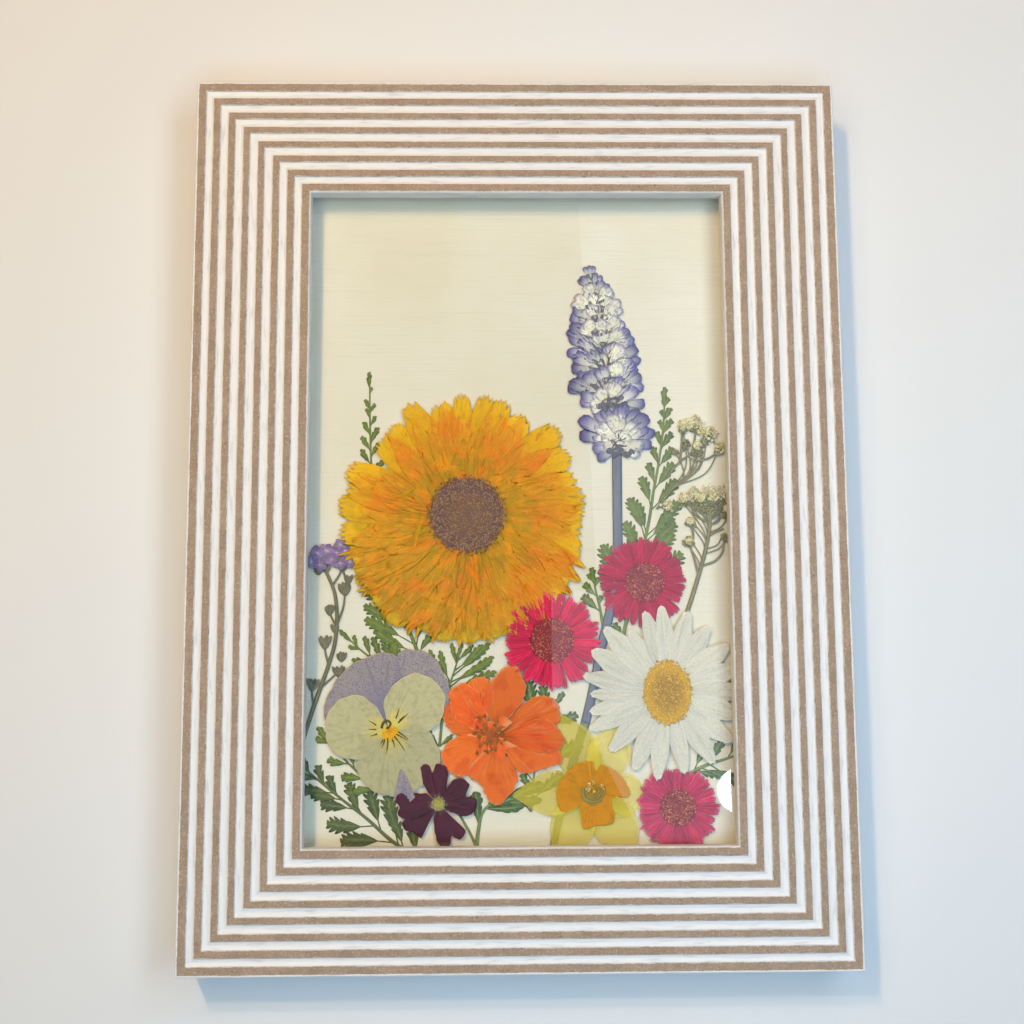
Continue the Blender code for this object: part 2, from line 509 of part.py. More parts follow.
def build_small_sprigs(group):
    """The mauve-blue sprig at the left and the two cream umbels at the right."""
    mauve = finish("pressed mauve floret", (0.40, 0.34, 0.48), 0.75)
    stem = ((-46.8, -49.0), (-45.4, -44.5), (-43.4, -38.5), (-41.5, -33.0), (-40.2, -28.0),
            (-39.9, -22.0), (-40.6, -17.0), (-42.6, -12.4))
    sprig = [strip(stem, 0.9, 0.7),
             strip(((-42.6, -12.8), (-41.6, -11.4), (-41.2, -9.8)), 0.7, 0.7),
             strip(((-39.2, -11.5), (-38.0, -14.4), (-37.4, -15.6)), 0.5, 0.5),
             strip(((-39.8, -24.4), (-38.5, -20.6), (-38.2, -17.4)), 0.5, 0.5),
             strip(((-40.0, -25.0), (-41.2, -22.6), (-41.6, -21.4)), 0.5, 0.5),
             strip(((-41.6, -33.4), (-42.3, -30.6), (-42.6, -28.8)), 0.5, 0.5),
             strip(((-43.0, -38.0), (-40.8, -36.0), (-39.2, -34.4)), 0.5, 0.5),
             strip(((-44.6, -42.6), (-45.0, -40.0), (-45.2, -38.2)), 0.5, 0.5),
             blade((-38.3, -12.6), (-37.2, -15.8), 1.8, BROAD),
             blade((-38.4, -20.6), (-37.6, -16.6), 3.0, BROAD),
             blade((-40.6, -24.4), (-41.8, -21.3), 2.2, BROAD),
             blade((-42.0, -32.2), (-42.4, -28.4), 2.6, BROAD),
             blade((-41.6, -36.6), (-38.9, -34.1), 1.5, BROAD),
             blade((-44.8, -41.8), (-45.2, -37.8), 1.8, BROAD)]
    for x, y, radius in ((-44.3, -8.7, 1.4), (-42.4, -8.2, 1.4), (-40.2, -8.6, 1.3), (-39.3, -6.9, 1.2),
                         (-38.0, -8.4, 1.3), (-41.2, -10.2, 1.3), (-39.1, -11.0, 1.3),
                         (-37.0, -10.8, 1.2), (-45.7, -10.6, 1.3), (-43.6, -11.4, 1.3)):
        sprig.append(oval((x, y), radius, radius, steps=7))
    pressed("blue_sprig", sprig, STEMS, group, mauve)

    cream = finish("pressed cream umbel", (0.55, 0.52, 0.38), 0.8)
    upper = [strip(((30.9, 0.8), (34.2, 5.1), (36.8, 6.9), (38.9, 9.0), (39.5, 11.6)), 0.5, 0.5),
             strip(((33.4, 8.0), (35.0, 10.2), (37.0, 12.0), (38.8, 13.2)), 0.7, 0.6),
             strip(((36.3, 11.4), (36.7, 14.8), (36.9, 18.6)), 0.6, 0.5),
             strip(((39.0, 13.4), (39.6, 16.0), (40.0, 18.6)), 0.5, 0.5),
             strip(((39.6, 11.6), (42.6, 12.2), (45.0, 13.8)), 0.5, 0.5)]
    for x, y, radius in ((37.2, 19.0, 1.3), (39.7, 19.6, 2.0), (42.6, 17.3, 2.0), (37.8, 15.4, 1.5),
                         (39.9, 13.4, 2.1), (45.0, 14.0, 1.6), (35.3, 13.6, 1.1), (43.3, 11.9, 0.9),
                         (33.3, 1.4, 1.6)):
        upper.append(oval((x, y), radius, radius, steps=7))
    pressed("yarrow_upper", upper, STEMS, group, cream)

    lower_stem = ((37.2, -22.0), (38.6, -18.0), (39.9, -14.0), (41.4, -9.0), (42.5, -4.0), (42.9, 1.0))
    lower = [strip(lower_stem, 1.1, 0.9),
             strip(((41.0, -11.8), (43.6, -10.8), (45.3, -8.8), (45.7, -6.0)), 0.5, 0.5),
             strip(((42.2, -5.2), (44.4, -4.1), (45.8, -3.6)), 0.5, 0.4),
             strip(((42.7, -2.0), (40.2, 0.4), (37.6, 2.0)), 0.6, 0.5),
             strip(((42.9, -1.4), (44.0, 0.8), (45.0, 3.0)), 0.6, 0.5),
             strip(((39.9, -14.4), (39.2, -11.0), (38.2, -7.6)), 0.5, 0.5),
             strip(((38.2, -7.4), (38.9, -5.2), (38.3, -2.6)), 0.5, 0.4)]
    for x, y, radius in ((36.9, 2.4, 1.5), (39.3, 3.2, 2.1), (42.2, 4.2, 2.1), (45.0, 4.0, 2.1),
                         (41.2, 1.2, 1.9), (44.2, 1.2, 2.3), (46.0, -0.4, 1.5), (37.8, -6.8, 1.7),
                         (38.3, -2.4, 1.5), (45.8, -5.6, 1.3)):
        lower.append(oval((x, y), radius, radius, steps=7))
    pressed("yarrow_lower", lower, STEMS, group, cream)


def build_narcissus(group, cutters):
    centre = (16.2, -60.4)
    yellow = finish("pressed narcissus petal", (0.80, 0.74, 0.36), 0.6)
    petals = ((117.0, 18.8, 9.6), (183.0, 17.8, 9.8), (241.0, 17.6, 9.8), (300.0, 17.0, 10.0),
              (352.0, 12.8, 9.0), (64.0, 16.4, 9.4))
    flower = pressed("narcissus", rosette(centre, petals, BROAD), LOW, group, yellow)
    trumpet = [[Vector(p) for p in ((7.7, -62.0), (8.6, -59.2), (11.2, -56.2), (14.6, -54.6),
                                    (17.4, -54.7), (21.2, -56.6), (23.5, -59.4), (23.9, -61.8),
                                    (19.6, -62.3), (20.2, -67.4), (13.3, -68.7), (13.2, -66.0),
                                    (12.2, -64.0), (9.2, -65.2))][::-1]]
    layer = pressed("narcissus_trumpet", trumpet, LOW, cutters, yellow, thickness=0.12 * MM,
                    lift=0.05 * MM)
    as_cutter(layer)
    boolean(flower, layer, "UNION")


def build_pink_daisies(group, cutters):
    pink = finish("pressed crimson ray", (0.62, 0.09, 0.20), 0.65)
    for name, centre, first, reach, eye, layer in (
            ("pink_daisy_upper", (27.4, -15.4), 4.0, 9.6, 4.5, LOW),
            ("pink_daisy_lower", (33.9, -65.0), 8.0, 8.6, 4.1, MIDDLE),
            ("pink_daisy_centre", (7.2, -28.2), 0.0, 10.2, 5.0, HIGH)):
        petals = even_petals(20, first, reach, reach * 0.31, uneven=0.5)
        flower = pressed(name, rosette(centre, petals, SLIM_RAY, inset=1.0), layer, group, pink)
        add_eye(flower, centre, eye, eye, layer, cutters)


def build_white_daisy(group, cutters):
    centre = (32.3, -39.6)
    white = finish("pressed white ray", (0.82, 0.83, 0.78), 0.6)
    petals = ((168.5, 18.9, 5.0), (150.6, 18.9, 5.6), (133.0, 19.8, 5.4), (105.4, 18.5, 4.4),
              (93.6, 19.1, 4.4), (74.5, 18.6, 4.8), (56.0, 17.4, 5.0), (36.0, 17.4, 5.2),
              (18.0, 16.9, 5.2), (359.0, 16.9, 5.2), (341.0, 17.0, 5.2), (323.0, 17.8, 5.2),
              (302.7, 18.5, 4.8), (281.0, 18.0, 4.2), (262.8, 19.2, 4.2), (246.0, 18.5, 4.6),
              (225.0, 18.1, 4.6), (204.7, 19.1, 4.2), (193.5, 17.7, 4.2))
    flower = pressed("white_daisy", rosette(centre, petals, STRAP, inset=2.0), TOP, group, white)
    add_eye(flower, centre, 5.2, 6.8, TOP, cutters)


def build_orange_flower(group, cutters):
    centre = (-5.6, -48.0)
    orange = finish("pressed orange petal", (0.85, 0.25, 0.05), 0.6)
    petals = ((80.0, 14.6, 11.0), (34.0, 13.8, 10.0), (354.0, 15.6, 12.0), (318.0, 10.6, 9.0),
              (272.0, 15.4, 11.0), (236.0, 12.2, 9.0), (205.0, 12.4, 10.0), (164.0, 11.6, 8.0),
              (140.0, 13.2, 10.0), (112.0, 12.8, 8.0))
    flower = pressed("orange_flower", rosette(centre, petals, BROAD), MIDDLE, group, orange)
    add_eye(flower, (-7.2, -47.6), 3.4, 3.8, MIDDLE, cutters)


def build_viola(group, cutters):
    pale = finish("pressed viola petal", (0.62, 0.62, 0.44), 0.65)
    lobes = (((-33.6, -40.0), 8.9, 9.2, 30.0), ((-21.8, -38.2), 8.3, 7.6, -50.0),
             ((-35.8, -46.8), 6.2, 6.9, 10.0), ((-22.8, -42.0), 6.4, 6.9, -30.0), ((-26.4, -53.2), 9.0,
                                                                                   8.1, 12.0))
    outlines = [oval(centre, rx, ry, turn) for centre, rx, ry, turn in lobes]
    flower = pressed("viola", outlines, HIGH, group, pale)
    add_eye(flower, (-28.4, -47.0), 2.2, 2.4, HIGH, cutters)


def build_purple_flower(group, cutters):
    centre = (-17.8, -62.9)
    purple = finish("pressed purple petal", (0.16, 0.06, 0.13), 0.6)
    petals = ((99.0, 8.8, 6.6), (25.0, 9.6, 8.0), (293.0, 8.8, 7.0), (226.0, 8.4, 6.6), (178.0, 8.9, 7.4))
    flower = pressed("purple_flower", rosette(centre, petals, NOTCHED), TOP, group, purple)
    add_eye(flower, centre, 1.7, 1.8, TOP, cutters)


def build_yellow_flower(group, cutters):
    centre = (-11.6, -0.7)
    yellow = finish("pressed yellow ray", (0.82, 0.50, 0.05), 0.65)
    rays = ((91.0, 28.2), (104.0, 27.6), (117.0, 28.4), (128.5, 27.8), (139.5, 26.8), (157.0, 28.7),
            (166.0, 27.9), (176.0, 28.2), (187.0, 28.6), (198.5, 27.0), (206.5, 27.6), (216.5, 28.8),
            (226.5, 28.6), (235.5, 28.8), (244.0, 27.6), (252.0, 27.9), (260.5, 29.4), (271.0, 28.8),
            (281.0, 28.4), (290.0, 28.6), (302.0, 27.4), (312.0, 27.2), (322.5, 28.0), (331.0, 26.4),
            (342.5, 28.2), (355.0, 27.6), (9.0, 28.2), (19.5, 26.8), (30.5, 27.2), (42.5, 28.4),
            (60.0, 27.4), (71.5, 27.2), (79.5, 27.8))
    petals = [(angle, reach, 6.6) for angle, reach in rays]
    flower = pressed("yellow_flower", rosette(centre, petals, BLUNT_RAY), TOP, group, yellow)
    add_eye(flower, (-11.4, -0.4), 8.4, 8.5, TOP, cutters)


def build():
    clear_scene()
    group = new_collection("pressed_flower_frame")
    cutters = new_collection("cutters")
    build_frame(group, cutters)
    build_leaves(group)
    build_sage_spike(group)
    build_small_sprigs(group)
    build_narcissus(group, cutters)
    build_pink_daisies(group, cutters)
    build_white_daisy(group, cutters)
    build_orange_flower(group, cutters)
    build_viola(group, cutters)
    build_purple_flower(group, cutters)
    build_yellow_flower(group, cutters)


build()
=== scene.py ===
"""Looks of the pressed flower frame: every finish and every fine shape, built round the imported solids."""

import math

import bpy
import numpy as np
from mathutils import Matrix, Vector


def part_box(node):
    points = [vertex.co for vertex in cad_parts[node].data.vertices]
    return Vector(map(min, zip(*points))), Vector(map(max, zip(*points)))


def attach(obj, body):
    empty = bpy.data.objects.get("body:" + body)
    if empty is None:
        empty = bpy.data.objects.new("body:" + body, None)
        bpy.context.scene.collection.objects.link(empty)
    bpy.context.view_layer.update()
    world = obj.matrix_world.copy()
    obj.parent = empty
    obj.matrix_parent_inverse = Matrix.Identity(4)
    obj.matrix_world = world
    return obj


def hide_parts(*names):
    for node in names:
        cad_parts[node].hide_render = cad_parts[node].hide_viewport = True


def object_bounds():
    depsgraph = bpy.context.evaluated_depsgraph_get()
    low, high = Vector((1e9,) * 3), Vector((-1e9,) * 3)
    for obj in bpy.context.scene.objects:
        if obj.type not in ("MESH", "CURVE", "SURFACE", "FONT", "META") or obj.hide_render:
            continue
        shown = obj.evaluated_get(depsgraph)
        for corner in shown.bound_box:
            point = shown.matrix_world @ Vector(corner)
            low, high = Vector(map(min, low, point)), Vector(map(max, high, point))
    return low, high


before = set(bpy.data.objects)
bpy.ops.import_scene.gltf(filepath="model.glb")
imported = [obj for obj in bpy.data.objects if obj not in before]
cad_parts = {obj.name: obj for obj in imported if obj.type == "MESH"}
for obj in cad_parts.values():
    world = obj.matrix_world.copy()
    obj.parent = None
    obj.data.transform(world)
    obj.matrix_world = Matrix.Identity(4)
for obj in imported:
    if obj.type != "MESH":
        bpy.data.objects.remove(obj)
solid_low, solid_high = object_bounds()

# The table and the room. The frame lies on a pale table and is seen from above its lower part. Two warm
# lamps stand beyond its upper left corner. Cool daylight comes down all round the camera, and a pale
# ceiling over the right half shows as a haze in the pane, with its edge down the middle.
MM = 0.001
FACE = solid_high.z                          # height of the frame's face above the table
LENS_PIXELS = 1300.0                         # focal length for a picture 1024 pixels wide
CAMERA_PLACE = Vector((-6.88, -35.97, 280.01)) * MM + Vector((0.0, 0.0, FACE))
CAMERA_TILT, CAMERA_ROLL, CAMERA_TURN = -7.2127, 1.0965, 0.1776
WARM = (1.0, 0.65, 0.31)
CEILING = ((71.0, -118.0), (63.0, -104.0), (43.0, -64.0), (24.5, -50.0), (24.5, 3.0), (47.0, 7.0),
           (40.0, 215.0), (114.0, 215.0), (114.0, -118.0))


def add_object(name, data):
    made = bpy.data.objects.new(name, data)
    bpy.context.scene.collection.objects.link(made)
    return made


def add_camera():
    lens = bpy.data.cameras.new("camera")
    lens.sensor_width = 36.0
    lens.lens = LENS_PIXELS / 1024 * lens.sensor_width
    lens.clip_start = 0.01
    camera = add_object("camera", lens)
    turn = (Matrix.Rotation(math.radians(CAMERA_TURN), 3, "Z")
            @ Matrix.Rotation(math.radians(CAMERA_ROLL), 3, "Y")
            @ Matrix.Rotation(math.radians(CAMERA_TILT), 3, "X"))
    camera.matrix_world = Matrix.Translation(CAMERA_PLACE) @ turn.transposed().to_4x4()
    bpy.context.scene.camera = camera


def add_lamp(name, place, aim, width, length, watts, tint):
    """A rectangular soft light at a place, in millimetres, facing another."""
    light = bpy.data.lights.new(name, "AREA")
    light.shape = "RECTANGLE"
    light.size, light.size_y = width * MM, length * MM
    light.energy = watts
    light.color = tint
    lamp = add_object(name, light)
    lamp.location = Vector(place) * MM
    lamp.rotation_euler = (Vector(place) - Vector(aim)).to_track_quat("Z", "Y").to_euler()
    return lamp


class Value:
    """One output of a node. A sign between values adds a Math node; value["Name"] is another output."""

    def __init__(self, node, key=0):
        self.node = node
        self.socket = node.outputs[key]

    def __getitem__(self, key):
        return Value(self.node, key)

    def math(self, operation, *others):
        sockets = dict(enumerate((self, *others)))
        return put(self.node.id_data, "ShaderNodeMath", sockets, operation=operation)

    def __add__(self, other):
        return self.math("ADD", other)

    def __sub__(self, other):
        return self.math("SUBTRACT", other)

    def __rsub__(self, other):
        return self * -1.0 + other

    def __mul__(self, other):
        return self.math("MULTIPLY", other)

    def __truediv__(self, other):
        return self.math("DIVIDE", other)

    def __lt__(self, other):
        return self.math("LESS_THAN", other)

    def __gt__(self, other):
        return self.math("GREATER_THAN", other)

    def __abs__(self):
        return self.math("ABSOLUTE")


def feed(node, sockets):
    """Sets a node's inputs, by name or number, or links them to other nodes' outputs."""
    for key, value in sockets.items():
        if isinstance(value, Value):
            node.id_data.links.new(value.socket, node.inputs[key])
        else:
            node.inputs[key].default_value = value


def put(tree, kind, sockets=None, **settings):
    """Adds a node and returns its first output."""
    node = tree.nodes.new(kind)
    for key, value in settings.items():
        setattr(node, key, value)
    feed(node, sockets or {})
    return Value(node) if len(node.outputs) else None


def tree_of(*values):
    return next(value.node.id_data for value in values if isinstance(value, Value))


def xyz(vector_value):
    """A vector's three values."""
    return put(tree_of(vector_value), "ShaderNodeSeparateXYZ", {0: vector_value})


def object_place(tree):
    return put(tree, "ShaderNodeTexCoord")["Object"]


def ramp(value, low, high, at_low=0.0, at_high=1.0, smooth=True):
    """From one number to another while a value goes from low to high, and flat beyond."""
    return put(tree_of(value), "ShaderNodeMapRange", {0: value, 1: low, 2: high, 3: at_low, 4: at_high},
               interpolation_type="SMOOTHSTEP" if smooth else "LINEAR")


def new_finish(name, roughness=0.6):
    """A material with only its Principled shader. Returns the material, its tree and the shader."""
    made = bpy.data.materials.new(name)
    made.use_nodes = True
    shader = made.node_tree.nodes["Principled BSDF"]
    shader.inputs["Roughness"].default_value = roughness
    return made, made.node_tree, shader


add_camera()
add_lamp("warm_lamp_near", (-215.0, 235.0, 620.0), (0.0, 0.0, 0.0), 24.0, 24.0, 0.95, WARM)
add_lamp("warm_lamp_far", (-235.0, 315.0, 620.0), (0.0, 0.0, 0.0), 24.0, 24.0, 0.95, WARM)
spot = add_lamp("downlight", (112.0, -90.0, 350.0), (20.0, -20.0, 0.0), 21.0, 21.0, 0.05, (0.6, 0.8, 1.0))
spot.data.shape = "DISK"
for name, x, y, width, length, watts, tint in (
        ("daylight_right", 176.0, 45.0, 120.0, 322.0, 0.78, (0.7, 0.85, 1.0)),
        ("daylight_left", -158.0, 45.0, 120.0, 322.0, 0.42, (1.0, 0.9, 0.67)),
        ("daylight_top", 8.0, 269.0, 206.0, 120.0, 0.2, (1.0, 0.7, 0.4)),
        ("daylight_bottom", 8.0, -180.0, 206.0, 120.0, 0.56, (0.38, 0.68, 1.0))):
    add_lamp(name, (x, y, 365.0), (x, y, 0.0), width, length, watts, tint)

outline = [(x * MM, y * MM, 366.0 * MM) for x, y in CEILING]
panel_mesh = bpy.data.meshes.new("ceiling")
panel_mesh.from_pydata(outline, [], [range(len(outline))])
panel = add_object("ceiling", panel_mesh)
lit_ceiling, panel_tree, glow = new_finish("lit_ceiling")
x, y, z = xyz(object_place(panel_tree))
reach = ramp(y, 0.12, 0.2, 0.01, 0.075, smooth=False)          # the edge is sharp below and soft far off
feed(glow, {"Base Color": (0.0, 0.0, 0.0, 1.0), "Emission Color": (0.66, 0.8, 1.0, 1.0),
            "Emission Strength": ramp(x, 0.0, reach, 0.0, 0.85)})
panel_mesh.materials.append(lit_ceiling)

room = bpy.data.worlds.new("room")
room.use_nodes = True
x, y, height = xyz(put(room.node_tree, "ShaderNodeTexCoord")["Generated"])
feed(room.node_tree.nodes["Background"], {
    "Color": (0.92, 0.97, 1.0, 1.0), "Strength": ramp(height, 0.93, 0.8, 0.0, 0.05)})
bpy.context.scene.world = room
bpy.context.scene.view_settings.view_transform = "Standard"

bpy.ops.mesh.primitive_plane_add(size=3.0, location=(0.0, 0.0, -0.0002))
table = bpy.context.object
table.name = "table_top"
table_finish, table_tree, table_shader = new_finish("pale_table", 0.8)
feed(table_shader, {"Base Color": (0.78, 0.78, 0.77, 1.0)})
table.data.materials.append(table_finish)

# The four rails. Medium-density fibreboard, grooved lengthwise, painted white all over and then sanded,
# so that the flat ridges are bare board again and the grooves, the outer wall and the thin inner lip
# keep their paint. The rails are glued at the mitres, and the back stays bare.
(rail_low, rail_high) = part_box("rail_bottom")
OUTER_WIDTH = solid_high.x - solid_low.x
OUTER_LENGTH = solid_high.y - solid_low.y
RAIL_WIDTH = rail_high.y - rail_low.y
RIDGE_PITCH = 3.35 * MM
FIRST_RIDGE_MIDDLE = 1.375 * MM
RIDGE_COUNT = 8
RIDGE_WIDTH = 1.62 * MM                      # the first and last ridges; those between are narrower
RIDGE_NARROWING = 0.29 * MM
LIP_THICKNESS = 3.5 * MM
REBATE_WIDTH = 5.1 * MM
ROW_LENGTH = 1.4 * MM                        # length of the rails' mesh faces


def ridge_half_width(ridge):
    return (RIDGE_WIDTH - RIDGE_NARROWING * math.sin(math.pi * ridge / (RIDGE_COUNT - 1))) / 2


def rail_section():
    """The moulding's section as (distance in from the outer edge, height)."""
    section = [(0.0, 0.0), (0.0, FACE * 0.5), (0.0, FACE - 0.55 * MM), (0.05 * MM, FACE - 0.25 * MM),
               (0.2 * MM, FACE - 0.07 * MM), (0.4 * MM, FACE - 0.01 * MM)]
    for ridge in range(RIDGE_COUNT):
        middle = FIRST_RIDGE_MIDDLE + ridge * RIDGE_PITCH
        half = ridge_half_width(ridge)
        if ridge:
            begin = middle - RIDGE_PITCH + ridge_half_width(ridge - 1)
            width = middle - half - begin
            for share, depth in ((0.03, 0.24), (0.1, 0.44), (0.3, 0.54), (0.46, 0.6), (0.54, 0.6),
                                 (0.7, 0.54), (0.9, 0.44), (0.97, 0.24)):
                section.append((begin + share * width, FACE - depth * MM))
        section.append((middle - half, FACE - 0.03 * MM))
        section.append((middle - half + 0.06 * MM, FACE))
        section.append((middle + half - 0.06 * MM, FACE))
        section.append((middle + half, FACE - 0.03 * MM))
    section.append((RAIL_WIDTH - 0.25 * MM, FACE - 0.16 * MM))
    section.append((RAIL_WIDTH - 0.06 * MM, FACE - 0.3 * MM))
    section.append((RAIL_WIDTH, FACE - 0.55 * MM))
    section.append((RAIL_WIDTH, FACE - LIP_THICKNESS))
    section.append((RAIL_WIDTH - REBATE_WIDTH, FACE - LIP_THICKNESS))
    section.append((RAIL_WIDTH - REBATE_WIDTH, 0.0))
    return section


def section_curve():
    line = bpy.data.curves.new("moulding_section", "CURVE")
    line.dimensions = "3D"
    points = rail_section()
    spline = line.splines.new("POLY")
    spline.points.add(len(points) - 1)
    for point, (across, height) in zip(spline.points, points):
        point.co = (-across, -height, 0.0, 1.0)
    spline.use_cyclic_u = True
    return add_object("moulding_section", line)


def add_inputs(tree, inputs):
    """Named inputs. Each default gives its kind: a number, a vector, a colour or a kind of datablock."""
    for label, default in inputs.items():
        if isinstance(default, str):
            kind = default
        elif isinstance(default, tuple):
            kind = "Vector" if len(default) == 3 else "Color"
        else:
            kind = "Int" if isinstance(default, int) else "Float"
        socket = tree.interface.new_socket(label, in_out="INPUT", socket_type="NodeSocket" + kind)
        if not isinstance(default, str):
            socket.default_value = default
    return put(tree, "NodeGroupInput")


def geometry_tree(name, inputs):
    """An empty Geometry Nodes tree and its inputs."""
    tree = bpy.data.node_groups.new(name, "GeometryNodeTree")
    tree.interface.new_socket("Geometry", in_out="OUTPUT", socket_type="NodeSocketGeometry")
    return tree, add_inputs(tree, inputs)


def close_tree(tree, geometry, given):
    """The end of every tree: real geometry with its finish."""
    real = put(tree, "GeometryNodeRealizeInstances", {0: geometry})
    done = put(tree, "GeometryNodeSetMaterial", {"Geometry": real, "Material": given["Finish"]})
    put(tree, "NodeGroupOutput", {0: done})
    return tree


def baked(carrier, name):
    """What an object's modifiers make of it, as a plain mesh."""
    bpy.context.view_layer.update()
    mesh = bpy.data.meshes.new_from_object(carrier.evaluated_get(bpy.context.evaluated_depsgraph_get()))
    mesh.name = name
    return mesh


def grown(name, tree, values):
    """Runs a Geometry Nodes tree once and keeps its result as a plain mesh object."""
    carrier = add_object(name + "_carrier", bpy.data.meshes.new(name + "_carrier"))
    modifier = carrier.modifiers.new("shape", "NODES")
    modifier.node_group = tree
    for item in tree.interface.items_tree:
        if item.in_out == "INPUT" and item.name in values:
            modifier[item.identifier] = values[item.name]
    mesh = baked(carrier, name)
    bpy.data.objects.remove(carrier, do_unlink=True)
    return add_object(name, mesh)


def vector(*axes):
    return put(tree_of(*axes), "ShaderNodeCombineXYZ", dict(enumerate(axes)))


def stored(geometry, name, value, kind="FLOAT", domain="INSTANCE"):
    """Geometry that carries a value under a name, for its finish to read."""
    return put(tree_of(geometry), "GeometryNodeStoreNamedAttribute", {
        "Geometry": geometry, "Name": name, "Value": value}, data_type=kind, domain=domain)


def reeded_rail_tree():
    """Sweeps the section along the rail, draws the ends in to the mitres and roughens the face."""
    tree, given = geometry_tree("reeded_rail", {
        "Section": "Object", "Length": 0.1, "Rows": 100, "Unevenness": 0.00002, "Seed": 0.0,
        "Finish": "Material"})
    half = given["Length"] * 0.5
    line = put(tree, "GeometryNodeCurvePrimitiveLine", {"Start": vector(half * -1.0), "End": vector(half)})
    rows = put(tree, "GeometryNodeResampleCurve", {"Curve": line, "Count": given["Rows"]})
    section = put(tree, "GeometryNodeObjectInfo", {"Object": given["Section"]})["Geometry"]
    sweep = put(tree, "GeometryNodeCurveToMesh", {
        "Curve": rows, "Profile Curve": section, "Fill Caps": True})
    place = put(tree, "GeometryNodeInputPosition")
    x, y, z = xyz(place)
    wave = put(tree, "ShaderNodeTexNoise", {"Vector": place, "W": given["Seed"], "Scale": 260.0,
                                            "Detail": 2.0}, noise_dimensions="4D")
    lift = (wave - 0.75) * given["Unevenness"] * (z > FACE - 0.7 * MM)
    mitred = vector(x * (1.0 - y / half), y, z + lift)
    moved = put(tree, "GeometryNodeSetPosition", {"Geometry": sweep, "Position": mitred})
    return close_tree(tree, stored(moved, "grain", place, "FLOAT_VECTOR", "POINT"), given)


def effect_group(name, inputs):
    """An empty shader node group that gives a colour and a height, and its inputs."""
    tree = bpy.data.node_groups.new(name, "ShaderNodeTree")
    tree.interface.new_socket("Colour", in_out="OUTPUT", socket_type="NodeSocketColor")
    tree.interface.new_socket("Height", in_out="OUTPUT", socket_type="NodeSocketFloat")
    return tree, add_inputs(tree, inputs)


def attribute(tree, name, output="Fac"):
    """What the mesh carries under a name."""
    return put(tree, "ShaderNodeAttribute", attribute_name=name)[output]


def noise(place, scale, detail=2.0, roughness=0.5, distortion=0.0):
    return put(tree_of(place), "ShaderNodeTexNoise", {
        "Vector": place, "Scale": scale, "Detail": detail, "Roughness": roughness, "Distortion": distortion})


def stretched(place, *scale):
    return put(tree_of(place), "ShaderNodeMapping", {"Vector": place, "Scale": scale})


def colour(red, green, blue):
    """A linear colour from 8-bit screen values."""
    def linear(value):
        value /= 255.0
        return value / 12.92 if value <= 0.04045 else ((value + 0.055) / 1.055) ** 2.4
    return (linear(red), linear(green), linear(blue), 1.0)


def layered(tone, *layers):
    """A colour with others laid over it, each by its share. Plain colours are given as screen values."""
    for share, shade in layers:
        under, over = (part if isinstance(part, Value) else colour(*part) for part in (tone, shade))
        tone = put(tree_of(share, under, over), "ShaderNodeMix", {0: share, 6: under, 7: over},
                   data_type="RGBA")[2]
    return tone


def press(shader, height, depth, strength):
    """Relief, as deep as depth in millimetres."""
    feed(shader, {"Normal": put(shader.id_data, "ShaderNodeBump", {
        "Height": height, "Distance": depth * MM, "Strength": strength})})


def pressed_fibre_group():
    """Fine wood fibre pressed into board: a body colour with pale and dark flecks, and its relief."""
    tree, given = effect_group("pressed_fibre", {
        "Vector": (0.0, 0.0, 0.0), "Body": (0.5, 0.4, 0.3, 1.0), "Pale": (0.7, 0.6, 0.5, 1.0),
        "Dark": (0.2, 0.15, 0.1, 1.0), "Flecks per metre": 2500.0})
    body, dark = given["Body"], given["Dark"]
    fine = noise(given["Vector"], given["Flecks per metre"], 4.0, 0.65)
    broad = noise(given["Vector"], given["Flecks per metre"] * 0.12, 3.0)
    tone = layered(body, (ramp(broad, 0.35, 0.7), layered(body, (0.35, dark))),
                   (ramp(fine, 0.54, 0.72), given["Pale"]), (ramp(fine, 0.45, 0.29), dark))
    put(tree, "NodeGroupOutput", {0: tone, 1: fine})
    return tree


pressed_fibre = pressed_fibre_group()


